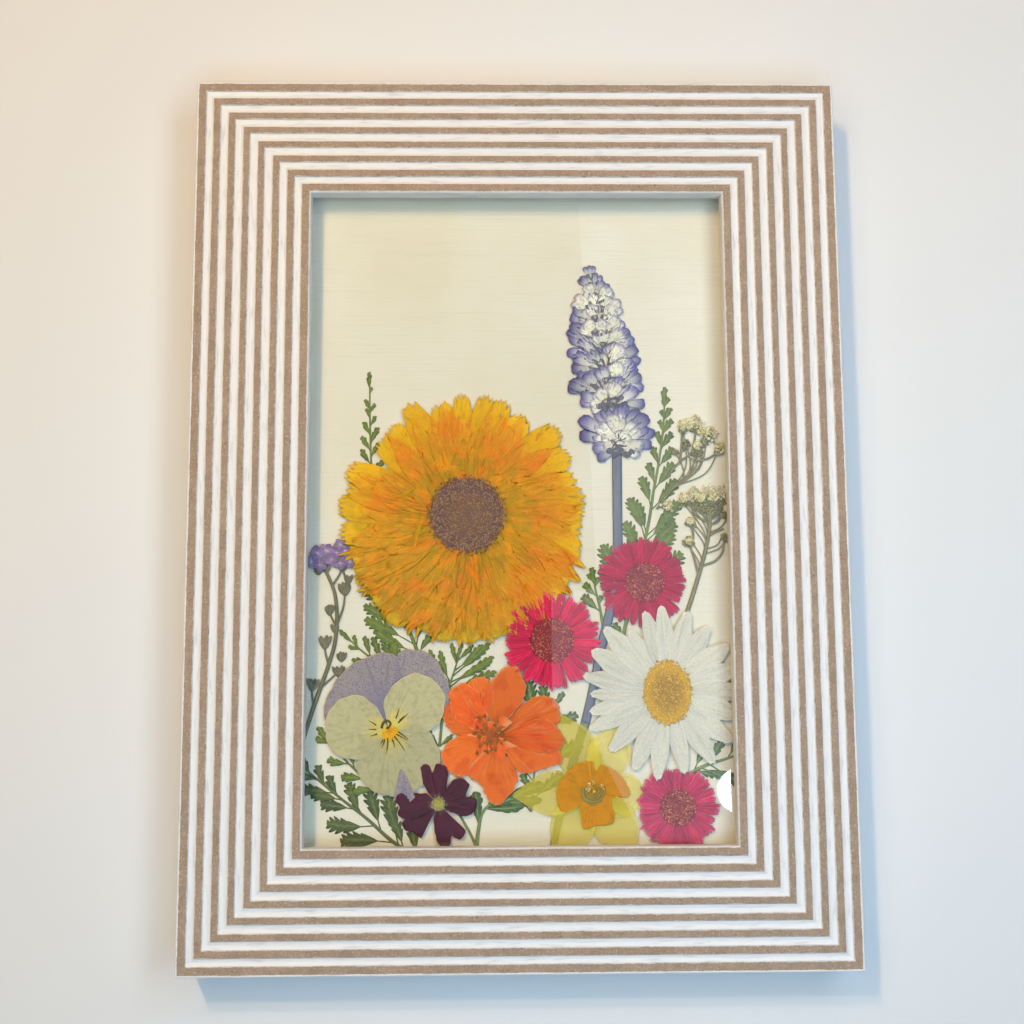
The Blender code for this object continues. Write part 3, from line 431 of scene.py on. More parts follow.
def reeded_finish():
    """White satin paint with the ridges sanded back to bare fibreboard."""
    made, tree, shader = new_finish("sanded_white_moulding")
    grain = attribute(tree, "grain", "Vector")
    along, across, height = xyz(grain)
    step = (across - FIRST_RIDGE_MIDDLE) / RIDGE_PITCH
    ridge = step.math("ROUND")
    off_middle = abs(step - ridge) * RIDGE_PITCH
    bulge = (ridge * (math.pi / (RIDGE_COUNT - 1))).math("SINE")
    half = bulge * (-RIDGE_NARROWING / 2) + RIDGE_WIDTH / 2
    ragged = (noise(grain, 1400.0, 5.0, 0.7) - 0.5) * (0.35 * MM)
    wander = (noise(grain, 330.0) - 0.52) * (0.3 * MM)
    inside = half + ragged + wander - off_middle
    never_painted = (height < FACE - 8.0 * MM) * (across > 0.05 * MM)
    bare = ramp(inside, -0.03 * MM, 0.04 * MM).math("MAXIMUM", never_painted)
    board = put(tree, "ShaderNodeGroup", {
        "Vector": grain, "Body": colour(170, 146, 124), "Pale": colour(202, 182, 160),
        "Dark": colour(130, 106, 86)}, node_tree=pressed_fibre)
    left_paint = ramp(noise(grain, 520.0, 6.0, 0.75), 0.68, 0.71)      # flecks that the sanding left
    wood = layered(board["Colour"], (left_paint * 0.7, (226, 214, 200)))
    streaks = noise(stretched(grain, 0.12, 1.0, 1.0), 1600.0, 3.0)
    specks = noise(grain, 900.0, 5.0, 0.8)
    tone = layered((228, 226, 224), (ramp(streaks, 0.5, 0.75), (206, 206, 206)),
                   (ramp(specks, 0.66, 0.74), (176, 160, 142)),
                   (ramp(inside, -0.14 * MM, -0.02 * MM) * 0.2, (190, 164, 140)), (bare, wood))
    feed(shader, {"Base Color": tone, "Roughness": bare * 0.42 + 0.42})
    press(shader, board["Height"] * bare + specks * 0.5 + streaks, 0.07, 0.6)
    return made


moulding_finish = reeded_finish()
rail_tree = reeded_rail_tree()
section = section_curve()
for turns, (side, length) in enumerate((("bottom", OUTER_WIDTH), ("right", OUTER_LENGTH),
                                        ("top", OUTER_WIDTH), ("left", OUTER_LENGTH))):
    rail = grown(f"moulding_{side}", rail_tree, {
        "Section": section, "Length": length, "Rows": round(length / ROW_LENGTH), "Seed": turns * 3.7,
        "Finish": moulding_finish})
    off_middle = OUTER_LENGTH / 2 if turns % 2 == 0 else OUTER_WIDTH / 2
    rail.data.transform(Matrix.Rotation(turns * math.pi / 2, 4, "Z")
                        @ Matrix.Translation((0.0, -off_middle, 0.0)))
    rail.data.shade_smooth()
    rail.data.set_sharp_from_angle(angle=math.radians(18.0))
    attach(rail, "root")
    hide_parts(f"rail_{side}")
bpy.data.objects.remove(section, do_unlink=True)

# The pane. Clear float glass, 2 mm thick, laid in the rebate against the lip. Lamplight and daylight go
# straight through it to the flowers.
def clear_glass():
    made, tree, shader = new_finish("clear_pane", 0.0)
    feed(shader, {"Base Color": (0.985, 1.0, 0.995, 1.0), "Transmission Weight": 1.0, "IOR": 1.5})
    passing = put(tree, "ShaderNodeBsdfTransparent", {"Color": (0.96, 0.98, 0.97, 1.0)})
    path = put(tree, "ShaderNodeLightPath")
    indirect = path["Is Shadow Ray"].math("MAXIMUM", path["Is Diffuse Ray"])
    both = put(tree, "ShaderNodeMixShader", {0: indirect, 1: Value(shader), 2: passing})
    feed(tree.nodes["Material Output"], {"Surface": both})
    return made


def coat(node, finish):
    """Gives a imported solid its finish."""
    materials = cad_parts[node].data.materials
    materials.clear()
    materials.append(finish)


coat("glass_pane", clear_glass())

# The sheet behind the flowers. Cream laid paper: fine ruled lines from the mould, faint clouds and a few
# specks of bran. It lies flat on the back board.
def laid_paper():
    made, tree, shader = new_finish("cream_laid_paper", 0.85)
    place = object_place(tree)
    x, y, z = xyz(place)
    lines = ((noise(place, 60.0) * (0.4 * MM) + y) * (math.tau / (0.85 * MM))).math("SINE")
    strands = noise(stretched(place, 0.06, 1.0, 1.0), 1700.0, 3.0)
    tone = layered((243, 234, 217), (ramp(noise(place, 45.0, 4.0), 0.3, 0.7), (238, 227, 205)),
                   (lines * 0.04 + 0.05, (214, 204, 182)),
                   (ramp(strands, 0.5, 0.75) * 0.3, (222, 214, 194)),
                   (ramp(noise(place, 5200.0), 0.5, 0.8) * 0.2, (200, 190, 165)),
                   (ramp(noise(place, 330.0, 5.0, 0.75), 0.735, 0.76) * 0.6, (120, 108, 84)))
    feed(shader, {"Base Color": tone})
    press(shader, lines * 0.3 + strands, 0.04, 0.4)
    return made


coat("backing_sheet", laid_paper())

# Ferns and cut leaves, laid on the paper first. Each is a dried blade: a round stem pressed flat and thin
# toothed leaflets with a raised midrib. Leaflets are placed by their tips and leave the stem at a lean.
SHEET_THICKNESS = 0.03                       # millimetres, as are the specimens' sizes from here on


def smooth_path(points, count):
    """Evenly spaced points on a smooth line through the given ones."""
    points = np.array(points, float)
    ends = np.vstack([2 * points[0] - points[1], points, 2 * points[-1] - points[-2]])
    share = np.linspace(0.0, 1.0, 16, endpoint=False)[:, None]
    pieces = []
    for a, b, c, d in zip(ends, ends[1:], ends[2:], ends[3:]):
        pieces.append((2 * b + (c - a) * share + (2 * a - 5 * b + 4 * c - d) * share ** 2
                       + (3 * b - a - 3 * c + d) * share ** 3) / 2)
    line = np.vstack(pieces + [points[-1:]])
    travelled = np.concatenate([[0.0], np.cumsum(np.linalg.norm(np.diff(line, axis=0), axis=1))])
    wanted = np.linspace(0.0, travelled[-1], count)
    return np.column_stack([np.interp(wanted, travelled, line[:, axis]) for axis in (0, 1)])


def band(path, half_width, columns, sweep=0.0):
    """A grid of points from side to side of a path. sweep draws its edges forwards."""
    ahead = np.gradient(path, axis=0)
    ahead /= np.linalg.norm(ahead, axis=1)[:, None] + 1e-9
    side = np.column_stack([-ahead[:, 1], ahead[:, 0]])
    across = np.linspace(-1.0, 1.0, columns)
    if half_width.ndim == 1:
        half_width = np.column_stack([half_width, half_width])
    reach = np.where(across < 0, half_width[:, :1], half_width[:, 1:]) * across
    return path[:, None, :] + side[:, None, :] * reach[..., None] + (
        ahead[:, None, :] * np.abs(reach)[..., None] * sweep)


def ripples(flat, rng, height, spacing, waves=5):
    """Gentle unevenness over a grid of points: a few waves in random directions."""
    lift = np.zeros(flat.shape[:2])
    for _ in range(waves):
        turn = rng.uniform(0.0, math.tau)
        pitch = spacing * rng.uniform(0.7, 1.6)
        phase = rng.uniform(0.0, math.tau)
        lift += np.sin((flat[..., 0] * math.cos(turn) + flat[..., 1] * math.sin(turn)) * math.tau / pitch
                       + phase)
    return lift * height / waves ** 0.5


def layers_over(sheets, cell=0.2):
    """For each sheet's points, how many other sheets of the same specimen lie over or under them."""
    every = np.vstack([flat.reshape(-1, 2) for flat, lift, pick in sheets])
    low = every.min(axis=0) - 1.0
    size = np.ceil((every.max(axis=0) + 1.0 - low) / cell).astype(int)
    total = np.zeros(size)
    for flat, lift, pick in sheets:
        rows, columns = flat.shape[:2]
        fine = np.stack([np.stack([np.interp(np.linspace(0, rows - 1, rows * 6), np.arange(rows),
                                             flat[:, column, axis]) for column in range(columns)], axis=1)
                         for axis in (0, 1)], axis=-1)
        fine = np.stack([np.stack([np.interp(np.linspace(0, columns - 1, columns * 6), np.arange(columns),
                                             fine[row, :, axis]) for row in range(len(fine))], axis=0)
                         for axis in (0, 1)], axis=-1)
        cells = ((fine.reshape(-1, 2) - low) / cell).astype(int)
        mark = np.zeros(size, bool)
        mark[cells[:, 0], cells[:, 1]] = True
        total += mark
    soft = sum(np.roll(total, (i, j), (0, 1)) for i in (-1, 0, 1) for j in (-1, 0, 1)) / 9
    counts = []
    for flat, lift, pick in sheets:
        cells = ((flat.reshape(-1, 2) - low) / cell).astype(int)
        counts.append(np.maximum(soft[cells[:, 0], cells[:, 1]] - 1.0, 0.0))
    return np.concatenate(counts)


def sheets_mesh(name, sheets, floor=0.0, thickness=SHEET_THICKNESS, cover=False):
    """One mesh from thin sheets, in metres. Each corner keeps its place on its sheet and its cover."""
    corners, faces, places = [], [], []
    first = 0
    for flat, lift, pick in sheets:
        rows, columns = flat.shape[:2]
        corners.append(np.dstack([flat, lift + floor]).reshape(-1, 3))
        number = first + np.arange(rows * columns).reshape(rows, columns)
        quads = np.stack([number[:-1, :-1], number[:-1, 1:], number[1:, 1:], number[1:, :-1]], axis=-1)
        quads = quads.reshape(-1, 4)
        a, b, c = (corners[-1][quads[:, k] - first][:, :2] for k in (0, 1, 3))
        turned = np.sum((b - a)[:, ::-1] * [-1.0, 1.0] * (c - a), axis=1).sum() < 0
        faces.append(quads[:, ::-1] if turned else quads)
        share = np.stack(np.meshgrid(np.linspace(0.0, 1.0, rows), np.linspace(0.0, 1.0, columns),
                                     indexing="ij")[::-1] + [np.full((rows, columns), pick)], axis=-1)
        places.append(share.reshape(-1, 3))
        first += rows * columns
    mesh = bpy.data.meshes.new(name)
    mesh.from_pydata((np.vstack(corners) * MM).tolist(), [], np.vstack(faces).tolist())
    kept = mesh.attributes.new("sheet", "FLOAT_VECTOR", "POINT")
    kept.data.foreach_set("vector", np.vstack(places).ravel())
    if cover:
        kept = mesh.attributes.new("cover", "FLOAT", "POINT")
        kept.data.foreach_set("value", layers_over(sheets))
    made = add_object(name, mesh)
    body = made.modifiers.new("thickness", "SOLIDIFY")
    body.thickness = thickness * MM
    body.offset = -1.0
    solid = baked(made, name)
    made.modifiers.clear()
    made.data = solid
    bpy.data.meshes.remove(mesh)
    solid.shade_smooth()
    return made


def laid(piece, node, finish=None, stands_in=True):
    """Gives a finished piece its material and its place in the frame."""
    if finish:
        piece.data.materials.clear()
        piece.data.materials.append(finish)
    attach(piece, "root")
    if stands_in:
        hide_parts(node)
    return piece


def floor_of(node):
    """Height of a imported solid's underside, in millimetres."""
    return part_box(node)[0].z / MM


def lay(name, node, sheets, finish, rise=0.0, cover=False, stands_in=True):
    """Thin sheets as one finished piece, some way above the underside of the solid."""
    laid(sheets_mesh(name, sheets, floor_of(node) + rise, cover=cover), node, finish, stands_in)


def joint_for(line, tip, lean):
    """Where a leaflet with this tip leaves a line, if it leans forward by an angle in degrees."""
    gaps = np.linalg.norm(line - tip, axis=1)
    nearest = int(gaps.argmin())
    pitch = np.linalg.norm(line[1] - line[0])
    back = gaps[nearest] / math.tan(math.radians(lean)) / pitch
    return line[max(int(round(nearest - back)), 0)]


def leaflet(base, tip, width, teeth, depth, rng, bend=0.05, columns=7, widest=1.5, sweep=0.6, bare=0.0):
    """A cut leaflet between two points: a wedge with rounded lobes that point forwards on both sides."""
    base, tip = np.array(base, float), np.array(tip, float)
    run = tip - base
    side = np.array([-run[1], run[0]])
    share = np.linspace(0.0, 1.0, max(8, teeth * 6 + 2))
    bow = np.sin(share * math.pi) * bend * rng.uniform(-1, 1)
    path = base + share[:, None] * run + bow[:, None] * side
    along = np.clip((share - bare) / (1.0 - bare), 0.0, 1.0)
    body = np.maximum(np.sin(math.pi * along ** widest), 0.0) ** 0.8
    cut = depth * np.clip((along - 0.1) / 0.25, 0.0, 1.0)
    half = []
    for start in rng.uniform(0.0, 1.0) + np.array([0.0, 0.5]):
        notch = 1.0 - np.abs(np.sin((share * teeth + start) * math.pi)) ** 0.6
        half.append(width / 2 * body * (1.0 - cut * notch) + 0.03 + 0.12 * (1.0 - share))
    flat = band(path, np.column_stack(half), columns, sweep)
    across = np.linspace(-1.0, 1.0, columns)[None, :]
    lift = 0.06 * (1.0 - np.abs(across)) ** 1.5 + 0.03 * np.sin(share[:, None] * teeth * math.tau
                                                                 + np.abs(across) * 3.0)
    return flat, lift + ripples(flat, rng, 0.025, 3.0), rng.uniform()


def pinna(base, tip, slimness, rng):
    """One side leaf of a fern: a narrow stalk, and beyond it lobes cut well towards the middle rib."""
    length = float(np.linalg.norm(np.array(tip, float) - base))
    return leaflet(base, tip, 1.6 * slimness * length ** 0.75, max(2, round(length / 1.5)), 0.68, rng,
                   widest=1.0, sweep=1.1, bare=0.1 + 0.018 * length)


def pressed_stem(line, start, end, rise=0.22, pick=-1.0, columns=7):
    """A round stem pressed nearly flat, tapering along a smooth line."""
    half = np.linspace(start, end, len(line)) / 2
    flat = band(line, half, columns)
    across = np.linspace(-1.0, 1.0, columns)[None, :]
    scale = np.linspace(1.0, end / start, len(line))[:, None]
    return flat, rise * scale * np.sqrt(np.maximum(1.0 - across ** 2, 0.0)), pick


def stalk(points, count, start, end, rise=0.22, pick=-1.0, columns=7):
    """A pressed stem along a smooth line through the given points."""
    return pressed_stem(smooth_path(points, count), start, end, rise, pick, columns)


def frond(spine, tips, slimness, rng, lean=26.0, stem=0.6):
    """A stem, a leaflet at its end and its side leaflets; only the leaflets' tips are given."""
    line = smooth_path(spine, 90)
    sheets = [pressed_stem(line, stem, stem * 0.4, rise=0.16)]
    last = line[-1 - round(4.5 / np.linalg.norm(line[1] - line[0]))]
    sheets.append(pinna(last, line[-1], slimness * 0.8, rng))
    for tip in tips:
        gap = np.linalg.norm(line - tip, axis=1).min()
        sheets.append(pinna(joint_for(line, np.array(tip), lean + 2.2 * gap), tip, slimness, rng))
    return sheets


def leaf_finish(name, body, pale, dark, rib):
    """Dried leaf: a mottled body, paler ribs along the middle and to each tooth, darker worn edges."""
    made, tree, shader = new_finish(name, 0.62)
    across, along, pick = xyz(attribute(tree, "sheet", "Vector"))
    place = object_place(tree)
    grain = noise(place, 3800.0)
    off_middle = abs(across * 2.0 - 1.0)
    side_rib = (along * 6.0 - off_middle * 1.1).math("FRACT")
    ribs = (ramp(abs(side_rib - 0.5), 0.38, 0.5) * 0.4).math("MAXIMUM", ramp(off_middle, 0.3, 0.08))
    ribs = ribs.math("MAXIMUM", pick < -0.5)
    streak = noise(vector(across * 7.0, along * 5.0, pick), 1.0, 4.0)
    tone = layered(body, (ramp(noise(place, 420.0, 4.0), 0.35, 0.65), dark),
                   (ramp(grain, 0.5, 0.75) * 0.55, pale), (pick * 0.35, pale), (ribs * 0.65, rib),
                   (ramp(streak, 0.48, 0.66) * 0.55, dark), (ramp(off_middle, 0.82, 1.0) * 0.45, dark))
    feed(shader, {"Base Color": tone})
    press(shader, ribs * 0.8 + grain * 0.6, 0.05, 0.7)
    return made


fern_green = leaf_finish("fern_green", (94, 110, 34), (126, 140, 58), (58, 80, 26), (128, 142, 72))
deep_green = leaf_finish("deep_green", (66, 80, 32), (96, 110, 52), (42, 58, 24), (112, 122, 76))
grey_green = leaf_finish("grey_green", (72, 98, 48), (110, 134, 78), (46, 70, 36), (146, 162, 106))

LEAVES = {
    "fern_left": (
        ((-22, -31), (-25.5, -22), (-29, -12), (-31.6, 0), (-32.6, 10), (-33, 20),
         (-33.2, 32.2)),
        ((-34.1, 25.9), (-33.9, 23.8), (-34.5, 20.8), (-34.9, 17.5), (-34.9, 14.6), (-35.3, 11),
         (-36, 6), (-36.3, 1.5), (-36, -4), (-35.2, -9), (-34.6, -14), (-34.2, -17.2),
         (-34.1, -20.3), (-33.9, -23.3), (-31.8, -25.7), (-32.6, 28.6), (-31.9, 24.9), (-31.8, 22.1),
         (-31.1, 19.5), (-30.8, 16), (-30.1, 12), (-28.3, 7), (-27, 2), (-25.5, -3),
         (-24, -9), (-22.3, -15), (-20.6, -21), (-19, -26.5)), 0.29, 24, 0.8, fern_green),
    "fern_right": (
        ((22.5, -29), (24.3, -22), (26.6, -14), (28.2, -6), (29.3, -1), (30.3, 5), (31.5, 11),
         (32.7, 19), (33.4, 28.6)),
        ((32.8, 25.6), (32.3, 23.3), (31.9, 21), (31.3, 18.4), (30.3, 15), (29.2, 11.3), (27.6, 8.2),
         (26.5, 2.2), (24.8, 3.4), (23.8, -1.9), (25, -3.8), (18.8, -7), (18.9, -10), (18.6, -12.2),
         (21, -24.4), (34.1, 26.2), (34.6, 23.8), (34.8, 21.2), (34.7, 18.2), (34.8, 14.8), (34.9, 11.3),
         (35.5, 7.5), (35.9, 2.5), (34.5, 0.5), (35.1, -2.2), (34.7, -4.7), (36.4, -9)), 0.36, 20, 0.95,
        fern_green),
    "frond_lower_left": (
        ((-22, -74.5), (-27.5, -71), (-33, -66.2), (-38.5, -62), (-46, -56), (-50, -52.8)),
        ((-47, -53.4), (-43.8, -54.8), (-41.3, -57), (-37, -58.6), (-36.4, -61.6), (-32.6, -60.3),
         (-28.6, -61.3), (-27.6, -66.2), (-23.2, -67), (-48.5, -57), (-47.2, -59.8), (-45, -61),
         (-43, -63.1), (-41.6, -67.1), (-38.6, -71), (-35, -74.2), (-30.5, -75.2)), 0.4, 22, 0.9,
        deep_green),
    "leaf_under_orange": (
        ((2.4, -65), (3.4, -55), (5, -47), (7.6, -42), (9.8, -39.4)),
        ((2, -36.8), (5, -38), (12.8, -44.4), (13.6, -50.5), (-2.4, -50.8), (0.4, -57), (-0.8, -60.2),
         (9.4, -57)), 0.36, 30, 0.6, grey_green),
    "leaf_right_edge": (
        ((36.8, -57.3), (40, -55.6), (45, -54), (50.2, -52.3)),
        ((41.4, -50.2), (44.4, -49.8), (48.6, -48.4), (42.4, -57.6), (46, -59), (49.6, -59.8)), 0.34,
        32, 0.9, grey_green),
    "fern_spray_left": (
        ((-24, -36.6), (-29, -33.4), (-33.4, -31), (-39.4, -25.6)),
        ((-36.2, -26.8), (-33.9, -27), (-32.1, -27.2), (-30, -28.6), (-27.8, -28.2), (-37.4, -29.3),
         (-36.6, -32.2), (-31.5, -35)), 0.27, 26, 0.6, fern_green),
    "fern_spray_centre": (
        ((-17.4, -51), (-16.6, -44), (-15.2, -38), (-13.8, -33.5), (-12.3, -28.8)),
        ((-14.8, -28.6), (-17.3, -30.2), (-19.6, -30), (-19.6, -33), (-19.9, -47.2), (-10, -29),
         (-8, -28.9), (-6.3, -28.6), (-5.5, -31.6), (-6.2, -33), (-4.9, -34.9), (-9, -37),
         (-14.4, -48.4)), 0.21, 26, 0.6, fern_green),
    "leaf_left_of_viola": (
        ((-31, -60), (-35, -56.4), (-39.4, -52), (-43.8, -46.6)),
        ((-44.2, -49.2), (-41.6, -53.6), (-38.6, -57.4), (-36, -60.6), (-40.6, -46.6), (-36.5, -50.5)),
        0.38, 30, 0.6, fern_green),
    "leaf_by_stem": (
        ((18.7, -26), (17.9, -21), (17, -17), (16.3, -12.1)),
        ((14.2, -18.3), (14.6, -15.6), (15.4, -13.6), (17.7, -14.6), (18.3, -18.4)), 0.4, 28, 0.7,
        fern_green),
}

for number, (name, (spine, tips, slimness, lean, stem, green)) in enumerate(LEAVES.items()):
    rng = np.random.default_rng(100 + number)
    lay(name + "_blade", name, frond(spine, tips, slimness, rng, lean, stem), green)

rng = np.random.default_rng(140)
sprig = [stalk(((-9.6, -74.6), (-9.0, -69.0), (-8.1, -65.2), (-6.0, -62.9)), 40, 0.9, 0.5),
         stalk(((-9.5, -72.0), (-11.0, -69.0), (-13.2, -65.2)), 24, 0.6, 0.5)]
for base, tip, width in (((-3.4, -62.2), (5.4, -59.2), 2.6), ((-3.8, -62.9), (4.8, -62.4), 2.2),
                         ((-8.9, -67.4), (-9.6, -60.6), 2.8), ((-7.0, -63.8), (-4.6, -60.4), 2.4),
                         ((-6.9, -63.9), (0.6, -61.2), 2.8), ((-7.2, -64.2), (0.9, -63.8), 2.0)):
    sprig.append(leaflet(base, tip, width, 4, 0.4, rng))
lay("sprig_bottom_blade", "sprig_bottom", sprig, grey_green)

# The mealy sage, a dense spike with a looser whorl below it on a square stem. Each floret is a hollow
# woolly throat, cream and ribbed, that opens to a rounded blue-violet lip; the calyx behind it is dark.
TISSUE_COLOURS = ("Thin", "Thick", "Throat", "Rim", "Fibre", "Blotch")


def raised(sheet, rise):
    return sheet[0], sheet[1] + rise, sheet[2]


def shaded(tone, brightness):
    return put(tree_of(tone), "ShaderNodeHueSaturation", {"Value": brightness, "Color": tone})


def petal_tissue_group():
    """Dried petal: thin and overlapped tissue, a throat, fibres along it, blotches and a thin rim."""
    tree, given = effect_group("petal_tissue", {
        "Sheet": (0.5, 0.5, 0.5), "Cover": 0.0, "Place": (0.0, 0.0, 0.0),
        **{label: (0.6, 0.6, 0.6, 1.0) for label in TISSUE_COLOURS},
        "Throat reach": 0.3, "Rim width": 0.06, "Rim at sides": 1.0, "Fibres across": 14.0,
        "Fibre strength": 0.5, "Blotches per metre": 500.0, "Blotch strength": 0.4, "Unlike": 0.2})
    across, along, pick = xyz(given["Sheet"])
    fibre = noise(vector(across * given["Fibres across"], along * 2.2, pick * 83.0), 1.0, 4.0, 0.6, 0.3)
    blotch = noise(given["Place"], given["Blotches per metre"], 4.0)
    grain = noise(given["Place"], 3600.0, 3.0)
    folded = given["Cover"] * 0.5 + (fibre * 0.5 - 0.25)
    throat = ramp(fibre * 0.25 + (along - 0.125), given["Throat reach"], 0.0, smooth=False)
    to_side = (abs(across * 2.0 - 1.0) * -0.5 + 0.5) / given["Rim at sides"]
    to_edge = to_side.math("MINIMUM", 1.0 - along)
    tone = layered(given["Thin"], (put(tree, "ShaderNodeClamp", {0: folded}), given["Thick"]),
                   (ramp(blotch, 0.48, 0.68) * given["Blotch strength"], given["Blotch"]),
                   (throat, given["Throat"]),
                   (ramp(fibre, 0.5, 0.7) * given["Fibre strength"], given["Fibre"]),
                   (ramp(to_edge, given["Rim width"], 0.0) * 0.8, given["Rim"]))
    brightness = (pick - 0.5) * given["Unlike"] + (grain * 0.3 + 0.85)
    put(tree, "NodeGroupOutput", {0: shaded(tone, brightness), 1: grain * 0.35 + fibre})
    return tree


petal_tissue = petal_tissue_group()


def petal_finish(name, colours, roughness=0.6, relief=0.05, alpha=1.0, **amounts):
    """The shared tissue with one flower's colours: thin, thick, throat, rim, fibre and blotch."""
    made, tree, shader = new_finish(name, roughness)
    cover = attribute(tree, "cover")
    values = {label: colour(*shade) for label, shade in zip(TISSUE_COLOURS, colours)}
    values.update((label.replace("_", " ").capitalize(), amount) for label, amount in amounts.items())
    tissue = put(tree, "ShaderNodeGroup", {
        "Sheet": attribute(tree, "sheet", "Vector"), "Cover": cover, "Place": object_place(tree), **values},
        node_tree=petal_tissue)
    feed(shader, {"Base Color": tissue["Colour"], "Specular IOR Level": 0.3})
    press(shader, tissue["Height"], relief, 0.8)
    if alpha < 1.0:
        feed(shader, {"Alpha": ramp(cover, 0.0, 1.6, alpha, 1.0, smooth=False)})
    return made


def around(centre, angle, distance):
    """A point at an angle in degrees and a distance from a centre."""
    return np.array([centre[0] + distance * math.cos(math.radians(angle)),
                     centre[1] + distance * math.sin(math.radians(angle))])


def lobe(root, centre, along_radius, across_radius, rng, round_to=128.0, wavy=0.02, ruffle=0.05,
         crease=0.03, creases=9.0, rows=22, columns=33):
    """A rounded petal: a fan from its root to an oval outline round its centre."""
    root, centre = np.array(root, float), np.array(centre, float)
    ahead = (centre - root) / np.linalg.norm(centre - root)
    axis = math.atan2(ahead[1], ahead[0])
    swing = np.radians(np.linspace(-round_to, round_to, columns))
    edge = np.ones(columns)
    for count in (3, 5, 9, 14):
        edge = edge + wavy * np.sin(count * swing + rng.uniform(0.0, math.tau)) * (3.0 / count) ** 0.4
    x = along_radius * np.cos(swing) * edge
    y = across_radius * np.sin(swing) * edge
    outline = centre + np.column_stack([x * math.cos(axis) - y * math.sin(axis),
                                        x * math.sin(axis) + y * math.cos(axis)])
    share = np.linspace(0.04, 1.0, rows)
    flat = root + share[:, None, None] * (outline[None, :, :] - root)
    phase = rng.uniform(0.0, math.tau, 3)
    lift = ruffle * share[:, None] ** 3 * np.sin(swing[None, :] * 2.5 + phase[0])
    lift = lift + crease * share[:, None] * np.sin(swing[None, :] * creases + phase[1]
                                                   + share[:, None] * 2.0)
    lift = lift + ripples(flat, rng, 0.03, 4.0, waves=3)
    return flat, lift, rng.uniform()


SAGE_STEM = ((22.2, 15.5), (22.1, 0), (21.9, -11), (20.3, -21), (18.3, -29), (15.9, -40),
             (14.4, -46))
SAGE_AXIS = ((16.4, 56.5), (17.6, 50), (19, 43), (19.9, 36), (20.4, 30), (20.6, 24))
SAGE_FLORETS = (
    (16.4, 56.2, 0.8), (17.7, 54.4, 0.9), (15.3, 54, 0.9), (19.2, 52.8, 1), (20.8, 50.8, 1.1),
    (16.6, 51.8, 1.1), (14.2, 49.4, 1.4), (17.1, 48.9, 1.4), (20.2, 48.6, 1.4), (13.7, 46.1, 1.6),
    (16.6, 46.4, 1.5), (21, 46.4, 1.5), (22.8, 47.4, 1.3), (13.2, 42.6, 1.7), (16.1, 43, 1.6),
    (18.9, 43, 1.6), (22.1, 44, 1.6), (12.6, 39.6, 1.7), (15.2, 38.9, 1.6), (19.5, 40.2, 1.7),
    (22.7, 41.2, 1.6), (24.6, 41.7, 1.4), (25.3, 39.4, 1.5), (13.7, 35.4, 1.8), (17, 36.1, 1.8),
    (21.3, 37.5, 1.8), (23.5, 36.6, 1.7), (26, 37, 1.6), (13.2, 29.8, 1.9), (16, 30.8, 1.8),
    (19.4, 32.1, 1.9), (22.6, 33.1, 1.8), (25.7, 33.6, 1.8), (26.9, 30.8, 1.7), (15.4, 26.6, 1.6),
    (18.6, 27, 1.6), (21.6, 28.4, 1.8), (24.3, 29.1, 1.7), (26.7, 27.2, 1.6), (17.4, 24.6, 1.3))
SAGE_WHORL = ((15.2, 19.8, 1.8), (17.6, 14.8, 1.6), (19.8, 16.2, 1.6), (23.2, 23.4, 1.8), (21, 20.6, 1.8),
              (25.6, 20.2, 1.7), (27.8, 21.6, 1.8), (28.2, 18.6, 1.8), (27.2, 15.6, 1.5), (24.4, 16.4, 1.5),
              (18.4, 18.4, 1.7), (22.2, 17.2, 1.5))

sage_outer = petal_finish(
    "sage_floret", ((168, 164, 190), (116, 112, 160), (230, 224, 194), (66, 60, 136), (212, 206, 194),
                    (112, 104, 160)), relief=0.14, throat_reach=0.95, rim_width=0.42, rim_at_sides=0.5,
    fibres_across=9.0, blotches_per_metre=700.0, unlike=0.4)
sage_inner = petal_finish(
    "sage_throat", ((244, 238, 216), (228, 222, 200), (248, 240, 204), (130, 122, 172), (150, 142, 136),
                    (158, 152, 180)), relief=0.14, throat_reach=0.7, rim_width=0.22, rim_at_sides=0.5,
    fibres_across=10.0, fibre_strength=0.6, blotches_per_metre=900.0, blotch_strength=0.6, unlike=0.35)
sage_dark = leaf_finish("sage_calyx", (78, 74, 96), (112, 108, 110), (54, 52, 66), (104, 100, 92))
sage_green = leaf_finish("sage_stem", (104, 108, 128), (142, 146, 160), (76, 80, 98), (116, 120, 140))
sage_pale = leaf_finish("sage_foot", (128, 132, 96), (160, 162, 120), (98, 100, 72), (140, 142, 100))


def sage_floret(root, centre, radius, rng):
    """One floret: three ribbed lips that share a narrow throat."""
    root, centre = np.array(root, float), np.array(centre, float)
    run = centre - root
    if np.linalg.norm(run) < 2.2:
        run = run / (np.linalg.norm(run) + 0.01) * 2.2
        root = centre - run
    parts = []
    for swing, size, rise in ((-24.0, 0.66, 0.0), (24.0, 0.66, 0.05), (0.0, 0.8, 0.12)):
        turn = math.radians(swing + rng.uniform(-8, 8))
        lean = np.array([run[0] * math.cos(turn) - run[1] * math.sin(turn),
                         run[0] * math.sin(turn) + run[1] * math.cos(turn)]) * rng.uniform(0.9, 1.04)
        lip = lobe(root, root + lean, radius * size * 1.1, radius * size * 1.15, rng, round_to=122.0,
                   wavy=0.06, ruffle=0.12, crease=0.12, creases=8.0, rows=9, columns=17)
        parts.append(raised(lip, rise))
    return parts, root


